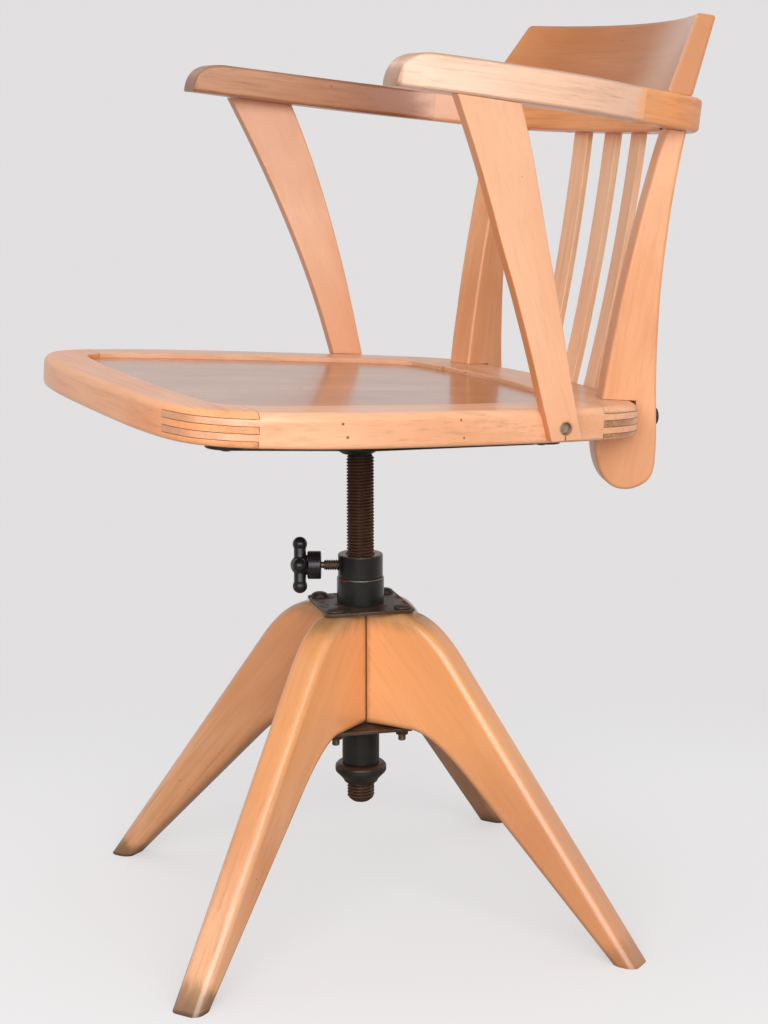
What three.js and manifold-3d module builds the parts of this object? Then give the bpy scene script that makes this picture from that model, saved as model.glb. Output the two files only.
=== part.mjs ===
// Swivel desk chair of bent and sawn beech on a four-legged base, raised by a central screw.
// Millimetres, Z up, front of the seat towards -Y, the sitter's left towards +X.
// The origin lies on the floor under the middle of the chair's outline.
import * as THREE from "three";
import { mergeVertices } from "three/addons/utils/BufferGeometryUtils.js";
import Module from "manifold-3d";

const wasm = await Module();
wasm.setup();

// Clearances and cutting allowances
const gap = 0.3; // left between pieces that touch
const overrun = 4; // how far a cutting solid runs past what it cuts
const reach = 700; // side of the blocks that trim a piece to a plane

// Base: four slab legs mitred round the swivel tube
const legHeading = THREE.MathUtils.degToRad(-54.4); // first leg, from +X
const legCount = 4;
const legThickness = 30;
const legTop = 295;
const legUnderside = 185;
const footReach = 293;
const footLength = 25;
const shoulderStart = 46; // along the top, where the shoulder begins to fall
const shoulderEnd = 104;
const shoulderEndHeight = 256;
const crotchStart = 60; // along the underside, where it begins to fall
const crotchEnd = 122;
const crotchEndHeight = 146;
const legRound = 7;

const plateSide = 84;
const plateThickness = 3;
const plateCorner = 4;

const bodyBoltRadius = 3.5;
const bodyBoltCircle = 45;
const bodyBoltHead = 8; // radius of the domed head
const bodyBoltHeadHeight = 4.4;
const bodyBoltTail = 6; // thread showing below the nut
const bodyNutRadius = 6.6;
const bodyNutHeight = 4.5;
const bodyBoltCrownShare = 0.72; // of the head's radius, where its dome turns in
const bodyBoltShoulderShare = 0.6; // of the head's height, there

// Swivel: a fixed housing, and a threaded sleeve that turns in it
const housingRadius = 17.5;
const housingCollarRadius = 22;
const housingCollarTop = 323.1;
const housingBottom = 143;
const sleeveRadius = 14.6;
const sleeveBore = 12.5;
const sleeveCollarRadius = 21;
const sleeveTop = 344.8;
const sleeveBottom = 124;
const ringFlangeRadius = 24.2;
const ringFlangeHeight = 11;
const ringWaistRadius = 15.8;
const ringChamfer = 5;

// Clamp: a studded cross knob that grips the screw
const clampHeading = THREE.MathUtils.degToRad(-113.4); // of its axis, from +X
const clampHeight = 333.8;
const studRadius = 4.5;
const studShow = 15.5; // bare stud between the collar and the knob
const studTip = 2.6;
const knobBossRadius = 12.5;
const knobBossLength = 13;
const knobTurn = 11; // degrees, of the lobes about the clamp's axis
const knobArmRadius = 19.6; // from the knob's axis to the middle of a lobe
const knobLobeRadius = 6.5;
const knobArmThickness = 5.4;
const knobFaceRadius = 9;
const knobLobes = 4;

// Height screw
const screwRadius = 12;
const screwRoot = 10.8;
const screwPitch = 3;
const screwBottom = 107.6;
const screwTipLength = 3;
const screwHiddenThread = 21.7; // thread inside the sleeve, below its top
const shankRadius = 9; // above the thread, in the spider's hub

// Seat: a rebated frame of four finger-jointed rails round a plywood panel
const seatHeight = 509.2; // of the frame's top over the axis
const seatSlope = 0.0585; // fall of the seat per unit towards the back
const seatThickness = 29;
const seatRound = 8; // of the frame's upper edge
const seatFootRound = 4; // of its lower edge
const seatHalfWidth = 248;
const seatFront = 257; // from the axis to the front edge
const seatBack = 218; // from the axis to the back edge
const panelHalfWidth = 202;
const panelFront = 216;
const panelBack = 148;
const panelSink = 4.5; // from the frame's top down to the panel's
const panelThickness = 6;
const rebate = 8; // width of the ledge under the panel
const frontShoulder = 189; // front joint, from the axis
const rearShoulder = 138;
const frontTongueInset = 178; // half the front rail's length between tongues
const rearTongueInset = 156;
const fingerCount = 5;

// Iron spider under the seat
const hubRadius = 21;
const hubMouth = 13; // radius of the hub's lower face
const hubDrop = 41; // from the seat's underside to the hub's end
const hubChamfer = 5;
const armWeb = 8;
const armFlange = 26;
const armFlangeThickness = 5;
const armTipDrop = 7;
const padRadius = 17;
const spiderScrewRadius = 2.5;
const spiderScrewHead = 5.5;
const spiderScrewCrownShare = 0.66; // of the head's radius, on its flat
const spiderScrewLength = 20;
const frontArm = { x: 197, y: -200 }; // ends of the arms, in the seat's plane
const rearArm = { x: 177, y: 95 };

// Arm bow: two arms and a back bow in one sloping plane
const armRise = 250.1; // of the bow's underside over the seat's top, on the axis
const bowHeight = seatHeight + armRise;
const bowSlope = 0.116;
const bowThickness = 29;
const bowHalfWidth = 259;
const bowBack = 274; // from the axis to the bow's outer back
const bowJoint = 165; // where the arms meet the back bow, from the axis
const bowRound = 4;
const armNoseReach = 80; // from the axis to the arms' front ends
const armNoseLength = 32;
const armNoseBulge = 3;
const bowTenonShare = 0.786; // of the bow's half width, the middle of an arm at the joint
const bowTenonWidth = 10;
const bowTenonLength = 12;

// Crest board on the bow
const crestHeight = 74;
const crestThickness = 18.2;
const crestRadius = 403; // of its hollow front, seen from above
const crestInset = 24.2; // from the bow's outer back to the crest's front at the foot
const crestFoot = bowBack - crestInset;
const crestRake = 0.327; // lean to the back per unit of height
const crestFootHalfWidth = 180;
const crestTopHalfWidth = 156;
const crestRound = 3;
const crestScrewRadius = 2.5;
const crestScrewHead = 5;
const crestScrewHeadHeight = 3;
const crestScrewSink = 1.5; // of its head in the bow's underside
const crestScrewBite = 26; // into the crest
const crestScrewShares = [-0.72, -0.4, 0.4, 0.72]; // of half the crest's foot

// Back posts, turned to follow the bow
const postTurn = THREE.MathUtils.degToRad(18);
const postSideInset = 92.8; // from the seat's side to the post's outer front corner
const postBackInset = 51.2; // from the seat's back to that corner
const postCorner = { x: seatHalfWidth - postSideInset, y: seatBack - postBackInset };
const postThickness = 28;
const postRound = 3;
const postFootDrop = 90.9; // of the foot's end below the seat's top, on the axis
const postFootHeight = seatHeight - postFootDrop;
const postDepth = 48.5; // from the corner to the back edge at the seat
const postHeadShare = 1.19; // of the depth, the middle of the head
const postBoltDrop = 27.2;
const postBoltHeight = seatHeight - postBoltDrop;
const postBoltRadius = 4;
const postBoltBite = 32; // into the seat frame
const postNutRadius = 8;
const postNutHeight = 4.2;
const tenonDepth = 12;
const tenonThickness = 9;

// Back slats
const slatWidth = 22.5;
const slatThickness = 6.6;
const slatPitch = 46;
const slatFootDrop = 35.2; // of the foot's end below the seat's top, on the axis
const slatFootHeight = seatHeight - slatFootDrop;
const slatFootInset = 4.5; // from the seat's back to the middle of the foot
const slatFoot = seatBack - slatFootInset;
const slatHeadInset = 13.5; // from the bow's outer back to the middle of the head
const slatHead = bowBack - slatHeadInset;
const slatCamber = 5.6; // bow of the slat at mid height
const slatTenonThickness = 5;
const slatOffsets = [-1, 0, 1]; // in pitches from the middle
const slatNames = ["slat_right", "slat_centre", "slat_left"];

// Arm supports
const supportThickness = 12.6;
const supportFootDrop = 30.2; // of the foot's end below the seat's top, on the axis
const supportFootHeight = seatHeight - supportFootDrop;
const supportSideShare = 0.8952; // of the seat's half width, the feet's inner faces carried to the axis
const supportFootX = seatHalfWidth * supportSideShare + supportThickness; // outer face, carried there
const supportHeadProud = 0.8; // how far the head, carried up, stands outside the arm
const supportFootTurn = 0.03; // turn of the faces in plan, as inward run per unit of way back
const supportHeadTurn = 0.15;
const supportTurnShare = 0.767; // of the rise, above which the turn stays
const supportFlare = bowHalfWidth + supportHeadProud - supportFootX;
const supportLean = 2; // inward shift of the tenon in the leaning head
const supportFootBack = 103.8; // from the axis to the foot's back edge
const supportScrewDrop = 20.2;
const supportScrewHeight = seatHeight - supportScrewDrop;
const supportScrewY = 87;
const supportScrewHead = 5;
const supportScrewRadius = 2.6;
const supportScrewSink = 6.8; // of its face, from the outer face carried to the axis
const supportScrewBite = 28;

// Curve and facet counts
const round = 32; // facets round a turned piece
const fine = 16; // facets round a small fastener
const bevelSteps = 2;
const curveSteps = 8;
const seatEdgeSteps = 80;
const panelEdgeSteps = 56;
const bowSteps = 30;
const crestSteps = 14;
const postSteps = 48;
const slatSteps = 6;

// Colours and finishes
const beech = new THREE.MeshStandardMaterial({ color: 0xc98250, roughness: 0.45, metalness: 0 });
const plywood = new THREE.MeshStandardMaterial({ color: 0xa5673c, roughness: 0.4, metalness: 0 });
const blackIron = new THREE.MeshStandardMaterial({ color: 0x232325, roughness: 0.5, metalness: 0.7 });
const rustyIron = new THREE.MeshStandardMaterial({ color: 0x3a2722, roughness: 0.7, metalness: 0.6 });
const bakelite = new THREE.MeshStandardMaterial({ color: 0x151516, roughness: 0.35, metalness: 0 });
const brightSteel = new THREE.MeshStandardMaterial({ color: 0x9a948a, roughness: 0.4, metalness: 0.9 });

// Frames of the sloping assemblies, measured from the swivel axis
const seatTilt = -Math.atan(seatSlope);
const bowTilt = -Math.atan(bowSlope);
const seatFrame = new THREE.Matrix4().makeRotationX(seatTilt).setPosition(0, 0, seatHeight);
const bowFrame = new THREE.Matrix4().makeRotationX(bowTilt).setPosition(0, 0, bowHeight);

// Solids

function solid(geometry) {
  const bare = geometry.clone();
  bare.deleteAttribute("normal");
  bare.deleteAttribute("uv");
  const merged = mergeVertices(bare);
  const mesh = new wasm.Mesh({
    numProp: 3,
    vertProperties: new Float32Array(merged.attributes.position.array),
    triVerts: new Uint32Array(merged.index.array),
  });
  return new wasm.Manifold(mesh);
}

function geometryOf(manifold) {
  const mesh = manifold.getMesh();
  const geometry = new THREE.BufferGeometry();
  geometry.setAttribute("position", new THREE.BufferAttribute(mesh.vertProperties, 3));
  geometry.setIndex(new THREE.BufferAttribute(mesh.triVerts, 1));
  geometry.computeVertexNormals();
  return geometry;
}

function piece(name, manifold, material) {
  const mesh = new THREE.Mesh(geometryOf(manifold), material);
  mesh.name = name;
  return mesh;
}

function moved(manifold, x, y, z) {
  return manifold.translate([x, y, z]);
}

function placed(manifold, matrix) {
  return manifold.transform(matrix.elements);
}

function mirrored(manifold) {
  return manifold.mirror([1, 0, 0]);
}

// A board lying on Z = 0, its edges rounded, and grown outwards if asked
function slab(shape, thickness, edge = 0, grow = 0, steps = curveSteps) {
  const geometry = new THREE.ExtrudeGeometry(shape, {
    depth: thickness - 2 * edge,
    bevelEnabled: edge > 0 || grow > 0,
    bevelThickness: edge,
    bevelSize: edge,
    bevelOffset: grow - edge,
    bevelSegments: edge > 0 ? bevelSteps : 1,
    curveSegments: steps,
  });
  return moved(solid(geometry), 0, 0, edge);
}

// A turned piece from its half profile, listed upwards as radius and height
function turned(profile, facets = round) {
  const points = profile.map(([radius, height]) => new THREE.Vector2(radius, height));
  const geometry = new THREE.LatheGeometry([...points, points[0]], facets);
  return outward(geometry.rotateX(Math.PI / 2));
}

// Turns a closed geometry right side out where its winding came out reversed
function outward(geometry) {
  const made = solid(geometry);
  if (made.volume() > 0) return made;
  const index = geometry.index.array;
  for (let i = 0; i < index.length; i += 3) {
    [index[i], index[i + 1]] = [index[i + 1], index[i]];
  }
  return solid(geometry);
}

function rod(radius, low, high, facets = fine) {
  return turned([[0, low], [radius, low], [radius, high], [0, high]], facets);
}

function block(low, high) {
  const size = new THREE.Vector3(...high).sub(new THREE.Vector3(...low));
  const middle = new THREE.Vector3(...low).addScaledVector(size, 1 / 2);
  return moved(solid(new THREE.BoxGeometry(size.x, size.y, size.z)), middle.x, middle.y, middle.z);
}

function join(...parts) {
  return parts.reduce((whole, part) => whole.add(part));
}

function cut(whole, ...tools) {
  return tools.reduce((left, tool) => left.subtract(tool), whole);
}

// A closed outline through the points of its +X half and their mirror images, smoothed
function symmetricOutline(half, samples) {
  const points = half.map(([x, y]) => new THREE.Vector2(x, y));
  const other = half
    .filter(([x]) => x > 0)
    .map(([x, y]) => new THREE.Vector2(-x, y))
    .reverse();
  const curve = new THREE.SplineCurve([...points, ...other, points[0]]);
  return new THREE.Shape(curve.getPoints(samples).slice(0, -1));
}

function scaled(shares, width, depth) {
  return shares.map(([x, y]) => [x * width, y * depth]);
}

function polygon(points) {
  return new THREE.Shape(points.map(([x, y]) => new THREE.Vector2(x, y)));
}

// A basis that puts a flat outline upright: outline x, outline y and thickness go along these
function upright(alongX, alongY, alongZ, origin) {
  const matrix = new THREE.Matrix4().makeBasis(alongX, alongY, alongZ);
  return matrix.setPosition(origin.x, origin.y, origin.z);
}

const axisX = new THREE.Vector3(1, 0, 0);
const axisY = new THREE.Vector3(0, 1, 0);
const axisZ = new THREE.Vector3(0, 0, 1);

// Base

// The leg's two long edges are straight lines, joined to the level top and underside by curves
function outerEdgeAt(height) {
  return footReach - (height * (footReach - shoulderEnd)) / shoulderEndHeight;
}

function innerEdgeAt(height) {
  const foot = footReach - footLength;
  return foot - (height * (foot - crotchEnd)) / crotchEndHeight;
}

function legOutline() {
  const shape = new THREE.Shape();
  const below = -overrun - legRound;
  shape.moveTo(-legThickness, legUnderside);
  shape.lineTo(crotchStart, legUnderside);
  shape.quadraticCurveTo(innerEdgeAt(legUnderside), legUnderside, crotchEnd, crotchEndHeight);
  shape.lineTo(innerEdgeAt(below), below);
  shape.lineTo(outerEdgeAt(below), below);
  shape.lineTo(shoulderEnd, shoulderEndHeight);
  shape.quadraticCurveTo(outerEdgeAt(legTop), legTop, shoulderStart, legTop);
  shape.lineTo(-legThickness, legTop);
  return shape;
}

function makeLeg() {
  const board = moved(slab(legOutline(), legThickness, legRound), 0, 0, -legThickness / 2);
  const standing = placed(board, upright(axisX, axisZ, axisY.clone().negate(), new THREE.Vector3()));
  const apex = gap / Math.SQRT2;
  const far = footReach + reach;
  const wedge = slab(polygon([[apex, 0], [far, apex - far], [far, far - apex]]), legTop + overrun);
  const tube = rod(housingRadius + gap, 0, legTop + overrun, round);
  const boltHole = moved(rod(bodyBoltRadius + gap, 0, legTop + overrun), bodyBoltCircle, 0, 0);
  return cut(standing.intersect(wedge), tube, boltHole);
}

function makePlate(bottom) {
  const half = plateSide / 2;
  const c = plateCorner;
  const corners = [
    [half - c, -half], [half, c - half], [half, half - c], [half - c, half],
    [c - half, half], [-half, half - c], [-half, c - half], [c - half, -half],
  ];
  const square = moved(slab(polygon(corners), plateThickness), 0, 0, bottom);
  const lying = square.rotate([0, 0, 45]);
  const tube = rod(housingRadius + gap, bottom - overrun, bottom + plateThickness + overrun, round);
  const holes = [];
  for (let k = 0; k < legCount; k++) {
    const hole = rod(bodyBoltRadius + gap, bottom - overrun, bottom + plateThickness + overrun);
    holes.push(moved(hole, bodyBoltCircle, 0, 0).rotate([0, 0, (360 / legCount) * k]));
  }
  return cut(lying, tube, ...holes);
}

const topPlateBottom = legTop + gap;
const topPlateTop = topPlateBottom + plateThickness;
const bottomPlateBottom = legUnderside - gap - plateThickness;
const bodyNutTop = bottomPlateBottom - gap;

function makeBodyBolt() {
  const seat = topPlateTop + gap;
  const dome = turned([
    [0, seat], [bodyBoltHead, seat],
    [bodyBoltHead * bodyBoltCrownShare, seat + bodyBoltHeadHeight * bodyBoltShoulderShare],
    [bodyBoltHead / 3, seat + bodyBoltHeadHeight], [0, seat + bodyBoltHeadHeight],
  ], fine);
  return join(dome, rod(bodyBoltRadius, bodyNutTop - bodyNutHeight - bodyBoltTail, seat + gap));
}

function makeBodyNut() {
  const flats = 6;
  const nut = rod(bodyNutRadius, bodyNutTop - bodyNutHeight, bodyNutTop, flats);
  return cut(nut, rod(bodyBoltRadius + gap, bodyNutTop - bodyNutHeight - overrun, bodyNutTop + overrun));
}

function makeHousing() {
  const bore = sleeveRadius + gap;
  const collarBottom = topPlateTop + gap;
  const lip = plateThickness / 2;
  return turned([
    [bore, housingBottom], [housingRadius, housingBottom], [housingRadius, collarBottom],
    [housingCollarRadius, collarBottom], [housingCollarRadius, housingCollarTop - lip],
    [housingCollarRadius - lip, housingCollarTop], [bore, housingCollarTop],
  ]);
}

// Swivel

const clampAxis = new THREE.Vector3(Math.cos(clampHeading), Math.sin(clampHeading), 0);
const clampSide = new THREE.Vector3().crossVectors(axisZ, clampAxis);

// Puts a piece turned about +Z on the clamp's axis, its foot towards the screw
function onClampAxis(manifold) {
  return placed(manifold, upright(clampSide, axisZ, clampAxis, new THREE.Vector3(0, 0, clampHeight)));
}

function makeSleeve() {
  const lip = plateThickness / 2;
  const collarBottom = housingCollarTop + gap;
  const body = turned([
    [sleeveBore, sleeveBottom], [sleeveRadius, sleeveBottom], [sleeveRadius, collarBottom],
    [sleeveCollarRadius, collarBottom], [sleeveCollarRadius, sleeveTop - lip],
    [sleeveCollarRadius - lip, sleeveTop], [sleeveBore, sleeveTop],
  ]);
  return cut(body, onClampAxis(rod(studRadius + gap, 0, sleeveCollarRadius + overrun)));
}

function makeRingNut() {
  const top = housingBottom - gap;
  const bore = sleeveRadius + gap;
  const edge = ringFlangeHeight / 4;
  const waistTop = top - ringFlangeHeight - ringChamfer;
  const mouth = ringWaistRadius + (housingCollarRadius - ringWaistRadius) / 6;
  return turned([
    [bore, sleeveBottom], [ringWaistRadius, sleeveBottom], [mouth, waistTop],
    [ringFlangeRadius - edge, top - ringFlangeHeight], [ringFlangeRadius, top - ringFlangeHeight + edge],
    [ringFlangeRadius, top - edge], [ringFlangeRadius - edge, top], [bore, top],
  ]);
}

const studEnd = sleeveCollarRadius + studShow; // where the knob's boss begins

function makeStud() {
  const start = screwRadius + gap;
  const stretch = knobBossLength / 2;
  return onClampAxis(turned([
    [0, start], [studTip, start], [studRadius, start + studRadius - studTip],
    [studRadius, studEnd + stretch], [0, studEnd + stretch],
  ], fine));
}

function makeKnob() {
  const face = studEnd + knobBossLength;
  const armMiddle = face + knobLobeRadius;
  const parts = [
    turned([[0, studEnd], [knobBossRadius, studEnd], [knobBossRadius, face], [0, face]], fine),
    moved(solid(new THREE.SphereGeometry(knobFaceRadius, fine, fine / 2)), 0, 0, armMiddle),
    rod(knobFaceRadius, face - overrun, armMiddle),
  ];
  for (let k = 0; k < knobLobes; k++) {
    const ball = solid(new THREE.SphereGeometry(knobLobeRadius, fine, fine / 2));
    const lobe = moved(ball, knobArmRadius, 0, 0);
    const arm = rod(knobArmThickness, 0, knobArmRadius).rotate([0, 90, 0]);
    parts.push(moved(join(lobe, arm).rotate([0, 0, (360 / knobLobes) * k + knobTurn]), 0, 0, armMiddle));
  }
  const socket = rod(studRadius + gap, studEnd - overrun, studEnd + knobBossLength / 2 + gap);
  return onClampAxis(cut(join(...parts), socket));
}

// Height screw: ring grooves where the thread shows, plain where the sleeve hides it
function screwProfile() {
  const profile = [[0, screwBottom - screwTipLength], [gap, screwBottom - screwTipLength]];
  profile.push([screwTipLength / 2, screwBottom], [screwRoot, screwBottom]);
  const lowTurns = Math.round((sleeveBottom - screwBottom) / screwPitch) + 1;
  const plainTop = sleeveTop - screwHiddenThread;
  for (let k = 0; k < lowTurns; k++) {
    const z = screwBottom + k * screwPitch;
    profile.push([screwRadius, z + screwPitch / 2], [screwRoot, z + screwPitch]);
  }
  profile.push([screwRoot, plainTop]);
  const highTurns = Math.floor((screwTop - plainTop) / screwPitch);
  for (let k = 0; k < highTurns; k++) {
    const z = plainTop + k * screwPitch;
    profile.push([screwRadius, z + screwPitch / 2], [screwRoot, z + screwPitch]);
  }
  profile.push([screwRoot, screwTop + gap], [shankRadius, screwTop + gap]);
  profile.push([shankRadius, seatUndersideOnAxis - gap], [0, seatUndersideOnAxis - gap]);
  return profile;
}

const seatUndersideOnAxis = seatHeight - seatThickness / Math.cos(seatTilt) - armFlangeThickness;

// The thread ends under the tilted hub
const screwTop = seatHeight - seatThickness / Math.cos(seatTilt) - hubDrop - hubRadius * seatSlope - gap;

function makeScrew() {
  return turned(screwProfile(), fine);
}

// Seat frame and panel, in the seat's plane with its top at Z = 0

const seatEdgeShares = [
  [0, -1], [0.4, -0.995], [0.66, -0.975], [0.82, -0.935], [0.91, -0.865], [0.965, -0.76],
  [0.995, -0.6], [1, -0.44], [0.98, -0.22], [0.948, 0], [0.918, 0.22], [0.887, 0.42],
  [0.85, 0.6], [0.81, 0.74], [0.75, 0.845], [0.65, 0.9], [0.52, 0.93], [0.26, 0.98], [0, 1],
];
const panelEdgeShares = [
  [0, -1], [0.5, -0.99], [0.82, -0.965], [0.94, -0.92], [0.985, -0.84], [0.995, -0.72],
  [0.97, -0.38], [0.93, 0], [0.89, 0.3], [0.85, 0.62], [0.8, 0.8], [0.7, 0.885], [0.45, 0.95],
  [0.25, 0.985], [0, 1],
];

// The shares follow the front reach before the axis and the back reach behind it
function seatHalf(shares, halfWidth, front, back) {
  return shares.map(([x, y]) => [x * halfWidth, y < 0 ? y * front : y * back]);
}

function seatOutline() {
  return symmetricOutline(seatHalf(seatEdgeShares, seatHalfWidth, seatFront, seatBack), seatEdgeSteps);
}

function panelOutline(inset) {
  const half = seatHalf(
    panelEdgeShares, panelHalfWidth - inset, panelFront - inset, panelBack - inset,
  );
  return symmetricOutline(half, panelEdgeSteps);
}

function seatBoard() {
  const depth = seatThickness + overrun + seatRound;
  const upper = moved(slab(seatOutline(), depth, seatRound), 0, 0, -depth);
  const lower = moved(slab(seatOutline(), depth, seatFootRound), 0, 0, -seatThickness);
  return upper.intersect(lower);
}

// What the posts and supports are cut back to, so that they clear the frame
function seatClearance() {
  const board = slab(seatOutline(), seatThickness + 2 * gap, 0, gap);
  return moved(board, 0, 0, -seatThickness - gap);
}

function makeSeatRing() {
  const opening = moved(slab(panelOutline(-gap), panelSink + panelThickness + gap + overrun), 0, 0,
    -panelSink - panelThickness - gap);
  const under = moved(slab(panelOutline(rebate), seatThickness + 2 * overrun), 0, 0,
    -seatThickness - overrun);
  return cut(seatBoard(), opening, under);
}

function makePanel() {
  return moved(slab(panelOutline(0), panelThickness), 0, 0, -panelSink - panelThickness);
}

// Height of the joint between finger k - 1 and finger k, counted from the seat's top
function fingerLevel(k) {
  return (-seatThickness * k) / fingerCount;
}

// The even fingers, which belong to the side rails, as blocks over a region in plan
function sideFingers(xLow, xHigh, yLow, yHigh, spare) {
  const fingers = [];
  for (let k = 1; k < fingerCount; k += 2) {
    fingers.push(block(
      [xLow, yLow, fingerLevel(k + 1) - spare], [xHigh, yHigh, fingerLevel(k) + spare],
    ));
  }
  return fingers;
}

function makeFrontRail(ring) {
  const shoulder = -frontShoulder - gap / 2;
  const far = -seatFront - overrun;
  const rail = ring.intersect(block(
    [-reach, far, -seatThickness - overrun], [reach, shoulder, overrun],
  ));
  const inset = frontTongueInset;
  return cut(
    rail,
    ...sideFingers(inset, reach, far - overrun, shoulder + overrun, gap / 2),
    ...sideFingers(-reach, -inset, far - overrun, shoulder + overrun, gap / 2),
  );
}

function makeRearRail(ring) {
  const shoulder = rearShoulder + gap / 2;
  const far = seatBack + overrun;
  const rail = ring.intersect(block(
    [-reach, shoulder, -seatThickness - overrun], [reach, far, overrun],
  ));
  const inset = rearTongueInset;
  return cut(
    rail,
    ...sideFingers(inset, reach, shoulder - overrun, far + overrun, gap / 2),
    ...sideFingers(-reach, -inset, shoulder - overrun, far + overrun, gap / 2),
  );
}

function makeSideRail(ring) {
  const front = gap / 2 - frontShoulder;
  const back = rearShoulder - gap / 2;
  const body = ring.intersect(block(
    [0, front, -seatThickness - overrun], [reach, back, overrun],
  ));
  const far = overrun + seatFront;
  const frontTongues = sideFingers(frontTongueInset + gap, reach, -far, front + overrun, -gap / 2);
  const rearTongues = sideFingers(rearTongueInset + gap, reach, back - overrun, far, -gap / 2);
  return join(body, ...[...frontTongues, ...rearTongues].map((finger) => ring.intersect(finger)));
}

// Spider: four tapering arms and a hub, under the seat

function armTip({ x, y }, side) {
  return new THREE.Vector2(x * side, y);
}

function makeSpiderArm(tip) {
  const length = tip.length();
  const top = -seatThickness - gap;
  const turn = THREE.MathUtils.radToDeg(tip.angle());
  const web = placed(
    moved(slab(polygon([
      [0, top], [0, top - hubDrop + hubChamfer], [hubRadius, top - hubDrop + hubChamfer],
      [length, top - armTipDrop], [length, top],
    ]), armWeb), 0, 0, -armWeb / 2),
    upright(axisX, axisZ, axisY.clone().negate(), new THREE.Vector3()),
  );
  const flange = block(
    [0, -armFlange / 2, top - armFlangeThickness], [length, armFlange / 2, top],
  );
  const pad = moved(rod(padRadius, top - armFlangeThickness, top), length, 0, 0);
  const screwHole = moved(rod(spiderScrewRadius + gap, top - 2 * overrun, top + overrun), length, 0, 0);
  return cut(join(web, flange, pad), webRelief(length, top), screwHole).rotate([0, 0, turn]);
}

// Room for the screw head at the tip, where the web ends
function webRelief(length, top) {
  const head = spiderScrewHead + gap;
  return block(
    [length - head, -armWeb, top - armTipDrop - overrun],
    [length + padRadius, armWeb, top - armFlangeThickness],
  );
}

function makeSpider() {
  const top = -seatThickness - gap;
  const hub = turned([
    [0, top - hubDrop], [hubMouth, top - hubDrop],
    [hubRadius, top - hubDrop + hubChamfer], [hubRadius, top], [0, top],
  ]);
  const arms = [1, -1].flatMap((side) => [frontArm, rearArm].map((arm) => makeSpiderArm(armTip(arm, side))));
  return join(hub, ...arms);
}

function makeSpiderScrew(tip) {
  const top = -seatThickness - gap;
  const under = top - armFlangeThickness - gap;
  const headHeight = armTipDrop - armFlangeThickness;
  const screw = join(
    turned([
      [0, under - headHeight], [spiderScrewHead * spiderScrewCrownShare, under - headHeight],
      [spiderScrewHead, under], [0, under],
    ], fine),
    rod(spiderScrewRadius, under - gap, under - gap + spiderScrewLength),
  );
  return moved(screw, tip.x, tip.y, 0);
}

function spiderScrewHole(tip) {
  const top = -seatThickness - gap;
  const hole = rod(spiderScrewRadius + gap, top - overrun, top - armFlangeThickness + spiderScrewLength);
  return moved(hole, tip.x, tip.y, 0);
}

// The shank of the screw turns with the seat: it fills a vertical bore in the tilted hub
function shankBore() {
  const bore = rod(shankRadius + gap, screwTop - overrun, seatUndersideOnAxis, fine);
  return placed(bore, seatFrame.clone().invert());
}

// Arm bow, in its own plane with its underside at Z = 0

const bowOuterShares = [
  [0.985, -0.299], [1, -0.11], [1, 0.07], [0.982, 0.24], [0.951, 0.36], [0.905, 0.47],
  [0.853, 0.568], [0.803, 0.675], [0.768, 0.774], [0.714, 0.868], [0.641, 0.918],
  [0.541, 0.952], [0.386, 0.979], [0.193, 0.995], [0, 1],
];
const bowInnerShares = [
  [0.872, -0.299], [0.86, -0.11], [0.85, 0.07], [0.838, 0.24], [0.822, 0.36], [0.79, 0.47],
  [0.749, 0.568], [0.706, 0.665], [0.664, 0.745], [0.61, 0.81], [0.533, 0.852],
  [0.386, 0.882], [0.193, 0.9], [0, 0.906],
];

function bowLine(shares) {
  const half = scaled(shares, bowHalfWidth, bowBack);
  const other = half.slice(0, -1).map(([x, y]) => [-x, y]).reverse();
  const points = [...half, ...other].map(([x, y]) => new THREE.Vector2(x, y));
  return new THREE.SplineCurve(points).getPoints(2 * bowSteps);
}

function bowOutline() {
  const outer = bowLine(bowOuterShares);
  const inner = bowLine(bowInnerShares).reverse();
  return new THREE.Shape([...outer, ...inner]);
}

// The arms' front ends, seen from the side: a quarter ellipse over a blunt foot
function noseBlock() {
  const shape = new THREE.Shape();
  const back = bowBack + overrun;
  shape.moveTo(-armNoseReach, -overrun);
  shape.lineTo(back, -overrun);
  shape.lineTo(back, bowThickness + overrun);
  shape.lineTo(armNoseLength - armNoseReach, bowThickness + overrun);
  shape.lineTo(armNoseLength - armNoseReach, bowThickness);
  shape.quadraticCurveTo(-armNoseReach, bowThickness, -armNoseReach, armNoseBulge);
  const profile = slab(shape, 2 * reach);
  return placed(profile, upright(axisY, axisZ, axisX, new THREE.Vector3(-reach, 0, 0)));
}

function makeBowBlank() {
  return slab(bowOutline(), bowThickness, bowRound).intersect(noseBlock());
}

// Hidden tenons on the arms' back ends, let into the back bow
function bowTenon(spare) {
  const middle = bowHalfWidth * bowTenonShare;
  const half = bowTenonWidth / 2 + spare;
  const waist = bowThickness / 2;
  return block(
    [middle - half, bowJoint - bowTenonLength, waist - half],
    [middle + half, bowJoint + bowTenonLength + spare, waist + half],
  );
}

function makeArm(blank) {
  const body = blank.intersect(block(
    [0, -reach, -overrun], [reach, bowJoint - gap / 2, bowThickness + overrun],
  ));
  return join(body, bowTenon(0));
}

function makeBackBow(blank) {
  const body = blank.intersect(block(
    [-reach, bowJoint + gap / 2, -overrun], [reach, reach, bowThickness + overrun],
  ));
  const mortise = bowTenon(gap);
  return cut(body, mortise, mirrored(mortise));
}

// Crest board: an arc in plan, leaning back, its ends drawn in towards the top
function crestOutline() {
  const shape = new THREE.Shape();
  const half = Math.asin((crestFootHalfWidth + crestThickness) / crestRadius);
  const middle = Math.PI / 2;
  const centre = crestFoot - crestRadius;
  shape.absarc(0, centre, crestRadius + crestThickness, middle - half, middle + half, false);
  shape.absarc(0, centre, crestRadius, middle + half, middle - half, true);
  return shape;
}

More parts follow.
